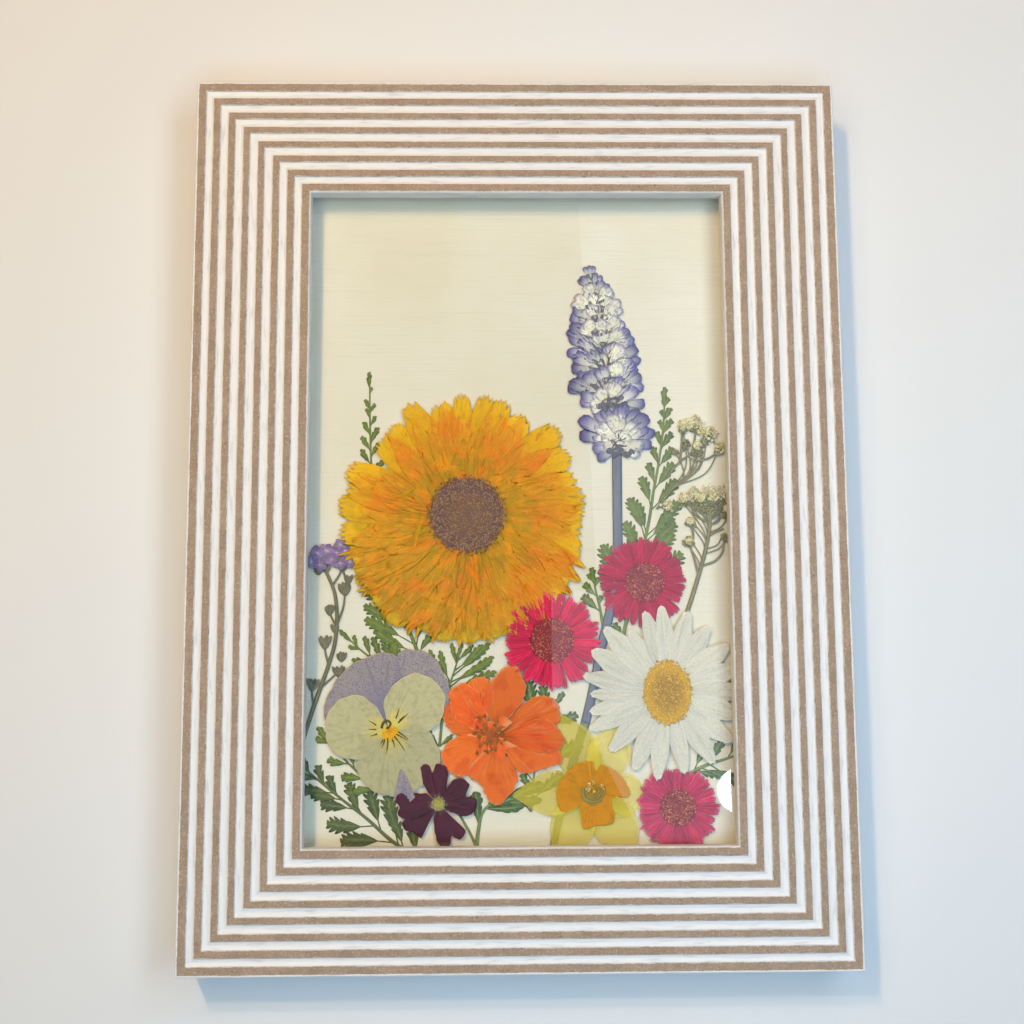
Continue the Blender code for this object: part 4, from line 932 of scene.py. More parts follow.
rng = np.random.default_rng(210)
sage_axis = smooth_path(SAGE_AXIS, 60)
outer, inner, calyces = [], [], []
places = []
for x, y, radius in SAGE_FLORETS:
    near = sage_axis[int(np.abs(sage_axis[:, 1] - (y - 2.6)).argmin())]
    off = x - near[0]
    root = near + np.array([off * 0.3 + rng.uniform(-0.4, 0.4), 0.0])
    places.append((x, y, radius, root, abs(off) > 4.2 or y > 52.0 or rng.uniform() < 0.22))
for x, y, radius in SAGE_WHORL:
    root = np.array([22.6, 15.8]) + rng.uniform(-0.9, 0.9, 2)
    places.append((x, y, radius, root, abs(x - 22.6) > 4.6 or y > 22.0))
order = sorted(range(len(places)), key=lambda k: (not places[k][4], -places[k][1]))
for number, k in enumerate(order):
    x, y, radius, root, blue = places[k]
    parts, root = sage_floret(root, (x, y), radius, rng)
    rise = 0.26 * number / len(order)
    for part in parts:
        (outer if blue else inner).append(raised(part, rise))
    towards = np.array([x, y]) - root
    for turn in (-0.35, 0.3):
        side = np.array([-towards[1], towards[0]]) * turn
        sepal = leaflet(root - 0.2 * towards, root + 0.45 * towards + side * 0.5, 0.9, 1, 0.1, rng)
        calyces.append(raised(sepal, rise + 0.1))
for x, y, turn in ((21.0, 13.6, 150.0), (23.0, 14.0, 90.0), (24.9, 13.4, 30.0), (22.2, 13.2, 200.0),
                   (23.8, 13.2, -20.0), (18.8, 24.4, 200.0), (19.8, 24.0, 260.0), (20.8, 24.8, 320.0)):
    bract = leaflet(around((x, y), turn, -1.0), around((x, y), turn, 1.2), 1.3, 2, 0.2, rng)
    calyces.append(raised(bract, 0.34))
foot = stalk(((14.6, -45.4), (13.0, -50.0), (10.0, -60.0), (7.0, -73.0)), 60, 2.0, 1.6, 0.06, columns=9)
lay("sage_outer_florets", "sage_spike", outer, sage_outer)
for name, sheets, finish, rise in (
        ("sage_inner_florets", inner, sage_inner, 0.0), ("sage_calyces", calyces, sage_dark, 0.0),
        ("sage_stem", [stalk(SAGE_STEM, 120, 2.2, 2.0, 0.35, columns=9)], sage_green, -0.1),
        ("sage_stem_foot", [foot], sage_pale, -0.25)):
    lay(name, "sage_spike", sheets, finish, rise, stands_in=False)

# The two small umbels at the right, of a white yarrow, and the sprig at the left. Thin branching stalks
# carry many tiny heads: a cup of green bracts with pale florets in it.
GOLDEN_ANGLE = math.pi * (3.0 - math.sqrt(5.0))      # from one bud to the next in a spiral


def chance(tree, seed, low, high, **more):
    """A random number for each point or instance."""
    return put(tree, "FunctionNodeRandomValue", {"Seed": seed, 2: low, 3: high, **more},
               data_type="FLOAT")[1]


def bud_cluster_tree():
    """Scatters small buds in a flat round heap, as one head of an umbel."""
    tree, given = geometry_tree("bud_cluster", {
        "Heads": "Object", "Buds per head": 14, "Bud size": 0.0004, "Flatness": 0.6, "Rise": 0.0003,
        "Seed": 1, "Finish": "Material"})
    heads = put(tree, "GeometryNodeObjectInfo", {"Object": given["Heads"]})["Geometry"]
    index = put(tree, "GeometryNodeInputIndex")
    points = put(tree, "GeometryNodeDuplicateElements", {
        "Geometry": heads, "Amount": given["Buds per head"]}, domain="POINT")
    reach = put(tree, "GeometryNodeInputNamedAttribute", {"Name": "reach"}, data_type="FLOAT")
    copy = points["Duplicate Index"]
    share = ((copy + 0.3) / given["Buds per head"]).math("SQRT")
    turn = (copy + index * 0.01) * GOLDEN_ANGLE
    out = reach * share * chance(tree, given["Seed"], 0.75, 1.2, ID=index)
    offset = vector(out * turn.math("COSINE"), out * turn.math("SINE"),
                    given["Rise"] * (1.0 - share * share))
    placed = put(tree, "GeometryNodeSetPosition", {"Geometry": points, "Offset": offset})
    bud = put(tree, "GeometryNodeMeshIcoSphere", {"Radius": 1.0, "Subdivisions": 1})
    width = given["Bud size"] * chance(tree, given["Seed"], 0.6, 1.3, ID=index)
    buds = put(tree, "GeometryNodeInstanceOnPoints", {
        "Points": placed, "Instance": bud, "Scale": vector(width, width, width * given["Flatness"]),
        "Rotation": vector(0.0, 0.0, turn)})
    return close_tree(tree, stored(buds, "pick", chance(tree, 77, 0.0, 1.0, ID=index)), given)


cluster_tree = bud_cluster_tree()


def marked_points(name, places, floor):
    """Loose points, with a reach each, for a tree to grow on. Places are (x, y, reach) in millimetres."""
    mesh = bpy.data.meshes.new(name)
    mesh.from_pydata([(x * MM, y * MM, floor * MM) for x, y, reach in places], [], [])
    kept = mesh.attributes.new("reach", "FLOAT", "POINT")
    kept.data.foreach_set("value", [reach * MM for x, y, reach in places])
    return add_object(name, mesh)


def speckled_finish(name, first, second, third):
    """Tiny buds of mixed ages: three colours shared out at random, each one mottled."""
    made, tree, shader = new_finish(name, 0.75)
    pick = attribute(tree, "pick")
    grain = noise(object_place(tree), 1500.0, 4.0)
    tone = layered(first, (ramp(pick, 0.35, 0.45), second), (ramp(pick, 0.72, 0.8), third))
    feed(shader, {"Base Color": shaded(tone, grain * 0.9 + 0.55)})
    press(shader, grain, 0.1, 0.7)
    return made


def grow_clusters(name, node, places, count, size, rise, finish, seed, lift=0.1):
    heads = marked_points(name + "_places", places, floor_of(node) + lift)
    made = grown(name, cluster_tree, {
        "Heads": heads, "Buds per head": count, "Bud size": size * MM, "Rise": rise * MM, "Seed": seed,
        "Finish": finish})
    bpy.data.objects.remove(heads, do_unlink=True)
    made.data.shade_smooth()
    laid(made, node, stands_in=False)


olive_stalk = leaf_finish("olive_stalk", (128, 122, 84), (168, 160, 116), (98, 94, 62), (140, 132, 92))
yarrow_bract = speckled_finish("yarrow_bract", (142, 136, 88), (164, 154, 104), (108, 110, 68))
yarrow_cream = speckled_finish("yarrow_floret", (228, 214, 160), (202, 186, 122), (238, 230, 196))
YARROWS = {
    "yarrow_upper": (
        (((30.9, 0.8), (34.2, 5.1), (36.8, 6.9), (38.9, 9), (39.5, 11.6)),
         ((33.4, 8), (35, 10.2), (37, 12), (38.8, 13.2)), ((36.3, 11.4), (36.7, 14.8), (36.9, 18.6)),
         ((39, 13.4), (39.6, 16), (40, 18.6)), ((39.6, 11.6), (42.6, 12.2), (45, 13.8)),
         ((39.2, 12.8), (41.4, 14.6), (42.6, 16.6)), ((36.5, 13.6), (37.4, 14.4), (37.8, 15.4))),
        ((37.2, 18.8, 0.9), (39.9, 18.8, 1.1), (42.6, 16.8, 1.4), (37.8, 15.4, 1), (39.9, 13.4, 1.6),
         (45, 13.8, 1.1), (35.3, 13.6, 0.8), (41.6, 16, 0.9), (33.3, 1.4, 1)),
        ((37, 19.7, 1.2), (40, 20.2, 1.7), (38.6, 20, 1), (43.2, 17.9, 1.7), (41.6, 18.4, 1.2),
         (45.3, 14.8, 1.4), (40.2, 15.2, 0.9), (33.2, 1.5, 1.3))),
    "yarrow_lower": (
        (((37.2, -22), (38.6, -18), (39.9, -14), (41.4, -9), (42.5, -4), (42.9, 1)),
         ((41, -11.8), (43.6, -10.8), (45.3, -8.8), (45.7, -6)),
         ((42.2, -5.2), (44.4, -4.1), (45.8, -3.6)),
         ((42.7, -2), (40.2, 0.4), (37.6, 2)), ((42.9, -1.4), (44, 0.8), (45, 3)),
         ((39.9, -14.4), (39.2, -11), (38.2, -7.6)), ((38.2, -7.4), (38.9, -5.2), (38.3, -2.6)),
         ((42.8, -1), (42, 0.6), (41.2, 2.2)), ((42.6, -2.4), (39.6, -0.6), (38.5, 1.4))),
        ((37.2, 2.2, 1.2), (39.5, 2.4, 1.5), (42.2, 2.6, 1.8), (44.8, 2.4, 1.6), (41.2, 1, 1.7),
         (44.2, 0.6, 1.9), (46, -0.6, 1.2), (37.8, -6.8, 1.3), (38.3, -2.4, 1.1), (45.8, -5.6, 1)),
        ((37, 3.2, 1.2), (39.3, 4, 1.7), (42.2, 4.7, 1.8), (45, 4.6, 1.8), (40.6, 3.2, 1),
         (43.6, 3.6, 1.2), (38, -6.3, 0.7), (38.4, -2, 0.8))),
}
for number, (name, (stalks, cups, florets)) in enumerate(YARROWS.items()):
    rng = np.random.default_rng(300 + number)
    sheets = []
    for path in stalks:
        start = 1.0 if path is stalks[0] and name == "yarrow_lower" else 0.55
        sheets.append(stalk(path, 40, start, start * 0.75, start * 0.35))
    trunk = smooth_path(stalks[0], 90)
    for x, y, reach in cups:
        for play in ((0.0,) if name == "yarrow_upper" else (-0.5, 0.5)):
            tip = np.array([x + play * reach, y + 0.3 * reach])
            base = joint_for(trunk, tip, 40.0)
            bow = (base + tip) / 2 + np.array([0.14, -0.1]) * np.linalg.norm(tip - base)
            sheets.append(stalk((base, bow, tip), 14, 0.3, 0.24, 0.1, columns=5))
        for swing in (-60, -35, -12, 12, 35, 60):
            foot = (x, y - reach * 0.6)
            tip = around(foot, 90 + swing + rng.uniform(-8, 8), reach * rng.uniform(0.9, 1.3))
            sheets.append(leaflet(foot, tip, 0.6, 1, 0.1, rng))
    lay(name + "_stalks", name, sheets, olive_stalk, -0.05)
    grow_clusters(name + "_cups", name, cups, 16, 0.28, 0.3, yarrow_bract, 5 + number)
    grow_clusters(name + "_florets", name, florets, 20, 0.34, 0.4, yarrow_cream, 9 + number, lift=0.2)

SPRIG_STEMS = (
    ((-46.8, -49), (-45.4, -44.5), (-43.4, -38.5), (-41.5, -33), (-40.2, -28), (-39.9, -22),
     (-40.6, -17), (-42.6, -12.4)),
    ((-42.6, -12.8), (-41.6, -11.4), (-41.2, -9.8)), ((-39.2, -11.5), (-38, -14.4), (-37.4, -15.6)),
    ((-39.8, -24.4), (-38.5, -20.6), (-38.2, -17.4)), ((-40, -25), (-41.2, -22.6), (-41.6, -21.4)),
    ((-41.6, -33.4), (-42.3, -30.6), (-42.6, -28.8)), ((-43, -38), (-40.8, -36), (-39.2, -34.4)),
    ((-44.6, -42.6), (-45, -40), (-45.2, -38.2)), ((-41, -16), (-39.4, -13.4), (-38.8, -11.4)))
SPRIG_CUPS = ((-37.4, -14.6, 2.2), (-38, -16.6, 3.2), (-41.6, -21.2, 2.6), (-42.5, -28.4, 3.2),
              (-38.8, -31.4, 2.4), (-39.4, -34.6, 2.6), (-45.1, -37.6, 3), (-42.3, -12.2, 2),
              (-44, -12.6, 2), (-40.4, -25.4, 2), (-38.6, -11.8, 2), (-37.6, -35.4, 2.2))
sprig_floret = petal_finish(
    "sprig_floret", ((140, 116, 158), (104, 92, 142), (206, 190, 190), (98, 88, 138), (90, 78, 122),
                     (160, 120, 156)), relief=0.08, throat_reach=0.45, fibres_across=6.0,
    blotch_strength=0.6, unlike=0.5)
sprig_stem = leaf_finish("sprig_stem", (112, 108, 86), (146, 140, 112), (84, 82, 66), (122, 118, 92))
rng = np.random.default_rng(330)
sheets = []
for path in SPRIG_STEMS:
    start = 0.95 if path is SPRIG_STEMS[0] else 0.5
    sheets.append(stalk(path, 50, start, start * 0.75, start * 0.35))
for x, y, length in SPRIG_CUPS:
    for swing in (-26, -12, 0, 13, 27):
        tip = around((x, y - length * 0.5), 90 + swing + rng.uniform(-5, 5), length * rng.uniform(0.8, 1.1))
        sheets.append(leaflet((x, y - length * 0.5), tip, 0.3 * length, 1, 0.1, rng, widest=0.9))
lay("blue_sprig_stem", "blue_sprig", sheets, sprig_stem, -0.05)
sheets = []
for x, y, radius in ((-44.3, -8.7, 1.4), (-42.4, -8.2, 1.4), (-40.2, -8.6, 1.3), (-39.3, -6.9, 1.2),
                     (-38.0, -8.4, 1.3), (-41.2, -10.2, 1.3), (-39.1, -11.0, 1.3), (-37.0, -10.8, 1.2),
                     (-45.7, -10.6, 1.3), (-43.6, -11.4, 1.3)):
    first = rng.uniform(0.0, 72.0)
    rise = rng.uniform(0.0, 0.2)
    for turn in range(5):
        tip = around((x, y), first + turn * 72.0, radius * rng.uniform(0.5, 0.68))
        petal = lobe((x, y), tip, radius * 0.62, radius * 0.55, rng, rows=8, columns=13, wavy=0.04)
        sheets.append((petal[0], petal[1] + rise + turn * 0.015, (petal[2] + x) % 1.0))
lay("blue_sprig_florets", "blue_sprig", sheets, sprig_floret, 0.15, stands_in=False)

# The flower heads' eyes. Each is a disc of tiny florets in spirals, older and open towards the outside,
# that dried on the head among the rays and was pressed nearly flat with them.
def scattered(tree, given, count, place):
    """Points at the given places round the piece's centre."""
    centred = put(tree, "ShaderNodeVectorMath", {0: place, 1: given["Centre"]}, operation="ADD")
    return put(tree, "GeometryNodePoints", {"Count": given[count], "Position": centred})


def flower_eye_tree():
    """Florets in a sunflower spiral over a low dome."""
    tree, given = geometry_tree("flower_eye", {
        "Florets": 300, "Half width": 0.005, "Half length": 0.005, "Dome": 0.0002, "Inner floret": 0.0002,
        "Outer floret": 0.0004, "Raggedness": 0.1, "Centre": (0.0, 0.0, 0.0), "Seed": 1,
        "Finish": "Material"})
    index = put(tree, "GeometryNodeInputIndex")
    share = ((index + 0.5) / given["Florets"]).math("SQRT")
    turn = index * GOLDEN_ANGLE
    ragged = chance(tree, given["Seed"], -1.0, 1.0) * given["Raggedness"] * (share * share) + share
    points = scattered(tree, given, "Florets", vector(
        ragged * turn.math("COSINE") * given["Half width"],
        ragged * turn.math("SINE") * given["Half length"], given["Dome"] * (1.0 - share * share)))
    floret = put(tree, "GeometryNodeMeshCone", {
        "Vertices": 5, "Radius Top": 0.45, "Radius Bottom": 1.0, "Depth": 1.0})
    size = ramp(share, 0.0, 1.0, given["Inner floret"], given["Outer floret"], smooth=False)
    width = size * chance(tree, 41, 0.7, 1.25)
    lean = put(tree, "FunctionNodeRandomValue", {"Seed": 9, 0: (-0.5, -0.5, -3.0), 1: (0.5, 0.5, 3.0)},
               data_type="FLOAT_VECTOR")
    florets = put(tree, "GeometryNodeInstanceOnPoints", {
        "Points": points, "Instance": floret, "Scale": vector(width, width, width * 0.9), "Rotation": lean})
    marked = stored(stored(florets, "ring", share), "pick", chance(tree, 23, 0.0, 1.0))
    bed = put(tree, "GeometryNodeMeshCylinder", {"Vertices": 48, "Radius": 1.0, "Depth": 1.0})
    bed_placed = put(tree, "GeometryNodeTransform", {
        "Geometry": bed, "Translation": given["Centre"],
        "Scale": vector(given["Half width"] * 0.96, given["Half length"] * 0.96, 0.0001)})
    both = put(tree, "GeometryNodeJoinGeometry", {0: stored(bed_placed, "ring", 0.75, domain="POINT")})
    feed(both.node, {0: marked})
    return close_tree(tree, both, given)


eye_tree = flower_eye_tree()


def eye_finish(name, rings, specks, speck_share):
    """Florets coloured by their ring from the middle out, with some of another colour among them."""
    made, tree, shader = new_finish(name, 0.75)
    pick = attribute(tree, "pick")
    place = object_place(tree)
    grain = noise(place, 2600.0, 3.0)
    uneven = noise(place, 500.0, 3.0) * 0.3 + attribute(tree, "ring") + (pick * 0.12 - 0.21)
    tone = put(tree, "ShaderNodeValToRGB", {0: uneven})
    stops = tone.node.color_ramp.elements
    for number, (place_at, shade) in enumerate(rings):
        stop = stops[number] if number < 2 else stops.new(place_at)
        stop.position = place_at
        stop.color = colour(*shade)
    tone = layered(tone, (pick > 1.0 - speck_share, specks))
    feed(shader, {"Base Color": shaded(tone, grain * 0.9 + 0.55)})
    press(shader, grain, 0.08, 0.6)
    return made


def grow_eye(name, node, centre, half_width, half_length, florets, inner, outer, finish, seed, rise=0.2,
             dome=0.12, ragged=0.04):
    made = grown(name, eye_tree, {
        "Florets": florets, "Half width": half_width * MM, "Half length": half_length * MM,
        "Dome": dome * MM, "Inner floret": inner * MM, "Outer floret": outer * MM, "Raggedness": ragged,
        "Centre": (centre[0] * MM, centre[1] * MM, (floor_of(node) + rise) * MM), "Seed": seed,
        "Finish": finish})
    laid(made, node, stands_in=False)


# The narcissus: six thin overlapping petals, and a deeper yellow trumpet that was pressed open on one side.
# The petals dried to a film that lets the paper show, and only the pane's pressure holds the flower.
def blade(root, outline, rng, wavy=0.12, ruffle=0.06, crease=0.035, creases=9.0, rows=20, columns=49):
    """A petal fanned out from its root to an outline drawn through the given points."""
    edge = smooth_path(outline, columns)
    share = np.linspace(0.0, 1.0, columns)
    for count in (7, 12, 19):
        edge = edge + (wavy * (7.0 / count) ** 0.5 * np.sin(count * share * math.tau
                                                            + rng.uniform(0.0, math.tau, (2, 1)))).T
    spokes = edge - np.array(root)
    angle = np.unwrap(np.arctan2(spokes[:, 1], spokes[:, 0]))
    way = 1.0 if angle[-1] > angle[0] else -1.0
    angle = way * (np.maximum.accumulate(way * angle) + 0.01 * share)
    spokes = np.linalg.norm(spokes, axis=1)[:, None] * np.column_stack([np.cos(angle), np.sin(angle)])
    out = np.linspace(0.03, 1.0, rows)[:, None]
    flat = np.array(root) + out[..., None] * spokes[None]
    phase = rng.uniform(0.0, math.tau, 2)
    lift = ruffle * out ** 3 * np.sin(share * 7.0 + phase[0])
    lift = lift + crease * out ** 2 * np.sin(share * math.pi * creases + phase[1] + out * 2.0)
    return flat, lift + ripples(flat, rng, 0.03, 4.0, waves=3), rng.uniform()


def ray(base, tip, width, rng, root=0.3, widest=0.65, shoulder=0.7, blunt=0.06, teeth=0, tooth=0.0,
        bend=0.03, tilt=0.05, creases=3.0, crease=0.035, rows=24, columns=11):
    """A strap-shaped petal between two points, blunt or toothed at its tip, with creases along it."""
    base, tip = np.array(base, float), np.array(tip, float)
    run = tip - base
    length = float(np.linalg.norm(run))
    ahead = run / length
    side = np.array([-ahead[1], ahead[0]])
    across = np.linspace(-1.0, 1.0, columns)
    share = np.linspace(0.0, 1.0, rows) ** 0.9
    body = np.where(share < widest, root + (1.0 - root) * np.sin(np.minimum(share / widest, 1.0)
                                                                 * math.pi / 2) ** 1.2,
                    1.0 - (1.0 - shoulder) * ((share - widest) / (1.0 - widest)) ** 2.0)
    cut = blunt * length * np.abs(across) ** 2.6
    if teeth:
        saw = np.abs(((across + 1.0) / 2 * teeth + rng.uniform(-0.15, 0.15)) % 1.0 - 0.5) * 2
        cut = cut + tooth * saw ** 0.8 * rng.uniform(0.5, 1.5, columns)
    bow = np.sin(share * math.pi * 0.8) * bend * rng.uniform(-1.0, 1.0) * length
    reach = share[:, None] * (length - cut[None, :])
    swing = bow[:, None] + body[:, None] * across[None, :] * width / 2
    flat = base + reach[..., None] * ahead + swing[..., None] * side
    phase = rng.uniform(0.0, math.tau)
    lift = tilt * across[None, :] * np.ones_like(share)[:, None]
    lift = lift + crease * np.sin(across[None, :] * math.pi * creases / 2 + phase + share[:, None] * 1.5)
    lift = lift + ripples(flat, rng, 0.03, 5.0, waves=3)
    return flat, lift, rng.uniform()


narcissus_petal = petal_finish(
    "narcissus_petal", ((255, 234, 88), (250, 222, 92), (206, 176, 60), (252, 236, 140), (230, 206, 70),
                        (240, 216, 82)), relief=0.12, alpha=0.34, throat_reach=0.5, fibres_across=26.0,
    fibre_strength=0.7, blotches_per_metre=260.0, blotch_strength=0.6)
narcissus_gold = petal_finish(
    "narcissus_trumpet", ((222, 142, 0), (200, 120, 0), (160, 122, 12), (232, 160, 20), (182, 104, 2),
                          (184, 128, 4)), alpha=0.93, throat_reach=0.42, fibres_across=30.0,
    blotch_strength=0.5, unlike=0.1)
trumpet_shade = leaf_finish("trumpet_shade", (172, 136, 34), (206, 156, 42), (126, 114, 60), (152, 128, 48))
stamen_gold = speckled_finish("narcissus_stamen", (224, 164, 30), (196, 138, 24), (238, 226, 190))
NARCISSUS = (16.2, -60.4)
rng = np.random.default_rng(400)
sheets = []
for turn, (angle, reach, width) in enumerate(((117.0, 18.8, 9.6), (241.0, 17.6, 9.8), (352.0, 12.8, 9.0),
                                              (183.0, 17.8, 9.8), (300.0, 17.0, 10.0), (64.0, 16.4, 9.4))):
    petal = ray(around(NARCISSUS, angle, 0.5), around(NARCISSUS, angle, reach), width, rng, root=0.35,
                widest=0.55, shoulder=0.25, blunt=0.12, rows=30, columns=21, creases=5.0, crease=0.03)
    sheets.append(raised(petal, 0.0 if turn < 3 else 0.08))
lay("narcissus_petals", "narcissus", sheets, narcissus_petal, cover=True)
sheets = []
for outline in (
        ((12.6, -55.0), (15.1, -54.2), (17.5, -55.0), (19.9, -55.8), (22.2, -57.7), (23.7, -60.4),
         (23.6, -61.8), (20.4, -62.2)),
        ((20.6, -61.6), (19.8, -62.7), (20.3, -67.2), (16.1, -68.1), (13.8, -68.7), (13.2, -66.2),
         (13.0, -63.9), (12.6, -61.8)),
        ((13.2, -63.6), (9.5, -65.2), (8.3, -63.8), (7.9, -61.1), (8.6, -58.8), (10.4, -56.5),
         (12.7, -54.7), (15.4, -54.3))):
    sheets.append(raised(blade((15.8, -60.8), outline, rng, wavy=0.06), 0.16 + 0.03 * len(sheets)))
lay("narcissus_trumpet", "narcissus", sheets, narcissus_gold, cover=True, stands_in=False)
rings = []
for radius, width, first, last in ((2.3, 0.9, -205, 25), (1.6, 0.8, -190, 60), (2.7, 0.6, -170, -20),
                                   (1.1, 0.6, -120, 160)):
    arc = [around((15.9, -60.7), angle, radius * rng.uniform(0.94, 1.06))
           for angle in range(first, last, 25)]
    rings.append(stalk(arc, 40, width, width * 0.5, 0.14))
lay("narcissus_ring", "narcissus", rings, trumpet_shade, 0.24, stands_in=False)
grow_clusters("narcissus_stamens", "narcissus", (
    (14.9, -59.4, 0.5), (15.6, -60.0, 0.6), (16.2, -60.8, 0.5), (17.6, -59.4, 0.6), (18.0, -60.0, 0.4),
    (15.9, -58.9, 0.4), (14.6, -60.4, 0.4)), 7, 0.24, 0.2, stamen_gold, 3, lift=0.3)

# The three pink daisies: a great many narrow rays with ragged blunt tips, round a grained red-brown eye.
# Each head was cut from its stalk and pressed face up, so its rays lie in two or three thin layers.
def ray_ring_tree():
    """Rays at even angles round a centre, each a little longer, shorter or turned, and unevenly pressed."""
    tree, given = geometry_tree("ray_ring", {
        "Rays": "Collection", "Count": 30, "Inner reach": 0.002, "Length": 0.01, "Width": 1.0, "Play": 0.1,
        "Turn": 0.0, "Centre": (0.0, 0.0, 0.0), "Seed": 1, "Finish": "Material"})
    index = put(tree, "GeometryNodeInputIndex")
    step = index + chance(tree, given["Seed"], -0.45, 0.45)
    angle = step * math.tau / given["Count"] + given["Turn"]
    points = scattered(tree, given, "Count", vector(
        given["Inner reach"] * angle.math("COSINE"), given["Inner reach"] * angle.math("SINE"),
        index.math("FLOORED_MODULO", 3.0) * (0.05 * MM)))
    rays = put(tree, "GeometryNodeCollectionInfo", {
        "Collection": given["Rays"], "Separate Children": True, "Reset Children": True})
    play = chance(tree, 31, -1.0, 1.0)
    kind = put(tree, "FunctionNodeRandomValue", {"Seed": 13, 4: 0, 5: 5}, data_type="INT")[2]
    placed = put(tree, "GeometryNodeInstanceOnPoints", {
        "Points": points, "Instance": rays, "Pick Instance": True, "Instance Index": kind,
        "Scale": vector(given["Length"] * (play * given["Play"] + 1.0),
                        given["Width"] * (play * -0.15 + 1.0), 1.0),
        "Rotation": vector(chance(tree, 57, -0.02, 0.06), 0.0, angle)})
    return close_tree(tree, stored(placed, "pick", chance(tree, 71, 0.0, 1.0)), given)


ring_tree = ray_ring_tree()
rng = np.random.default_rng(500)
ray_kinds = bpy.data.collections.new("ray_kinds")
for kind in range(6):
    pattern = ray((0.0, 0.0), (10.0, 0.0), 1.0, rng, root=0.45, widest=0.85, shoulder=0.9, blunt=0.05,
                  teeth=(2, 3, 2, 3, 2, 1)[kind], tooth=0.6, tilt=0.04, creases=4.0, crease=0.05, rows=12,
                  columns=9, bend=0.02)
    shape = sheets_mesh(f"ray_kind_{kind}", [(pattern[0], pattern[1], kind / 6)])
    shape.data.transform(Matrix.Diagonal((100.0, 1000.0, 1.0, 1.0)))
    bpy.context.scene.collection.objects.unlink(shape)
    ray_kinds.objects.link(shape)


def pink_finish(name, thin, thick, pale):
    return petal_finish(name, (thin, thick, thick, pale, pale, thick), relief=0.1, throat_reach=0.35,
                        rim_width=0.16, fibres_across=6.0, fibre_strength=0.45, blotches_per_metre=700.0,
                        blotch_strength=0.5, unlike=0.5)


daisy_eye = eye_finish("pink_daisy_eye", (
    (0.0, (156, 66, 54)), (0.5, (152, 54, 56)), (0.75, (146, 42, 56)), (1.0, (132, 28, 50))),
    (222, 148, 104), 0.28)
PINK_DAISIES = (
    ("pink_daisy_upper", (27.4, -15.4), 9.9, 4.3, 60, (27.8, -15.5), pink_finish(
        "crimson_ray", (186, 6, 60), (150, 4, 48), (204, 60, 100))),
    ("pink_daisy_lower", (34.1, -64.4), 8.9, 3.9, 56, (34.2, -64.3), pink_finish(
        "rose_ray", (194, 18, 74), (158, 12, 58), (224, 96, 132))),
    ("pink_daisy_centre", (7.2, -28.2), 10.6, 4.9, 62, (7.2, -28.1), pink_finish(
        "cerise_ray", (220, 8, 70), (180, 6, 58), (230, 72, 116))))
for number, (name, centre, reach, eye, count, eye_centre, pink) in enumerate(PINK_DAISIES):
    middle = (centre[0] * MM, centre[1] * MM, (floor_of(name) + 0.05) * MM)
    flower = grown(name + "_rays", ring_tree, {
        "Rays": ray_kinds, "Count": count, "Inner reach": eye * 0.5 * MM,
        "Length": (reach - eye * 0.5) * MM, "Width": 1.12 * MM, "Play": 0.09, "Turn": number * 1.3,
        "Centre": middle, "Seed": 3 + number, "Finish": pink})
    flower.data.shade_smooth()
    laid(flower, name)
    grow_eye(name + "_eye", name, eye_centre, eye, eye, 1000, 0.09, 0.15, daisy_eye, 7 + number, rise=0.24)

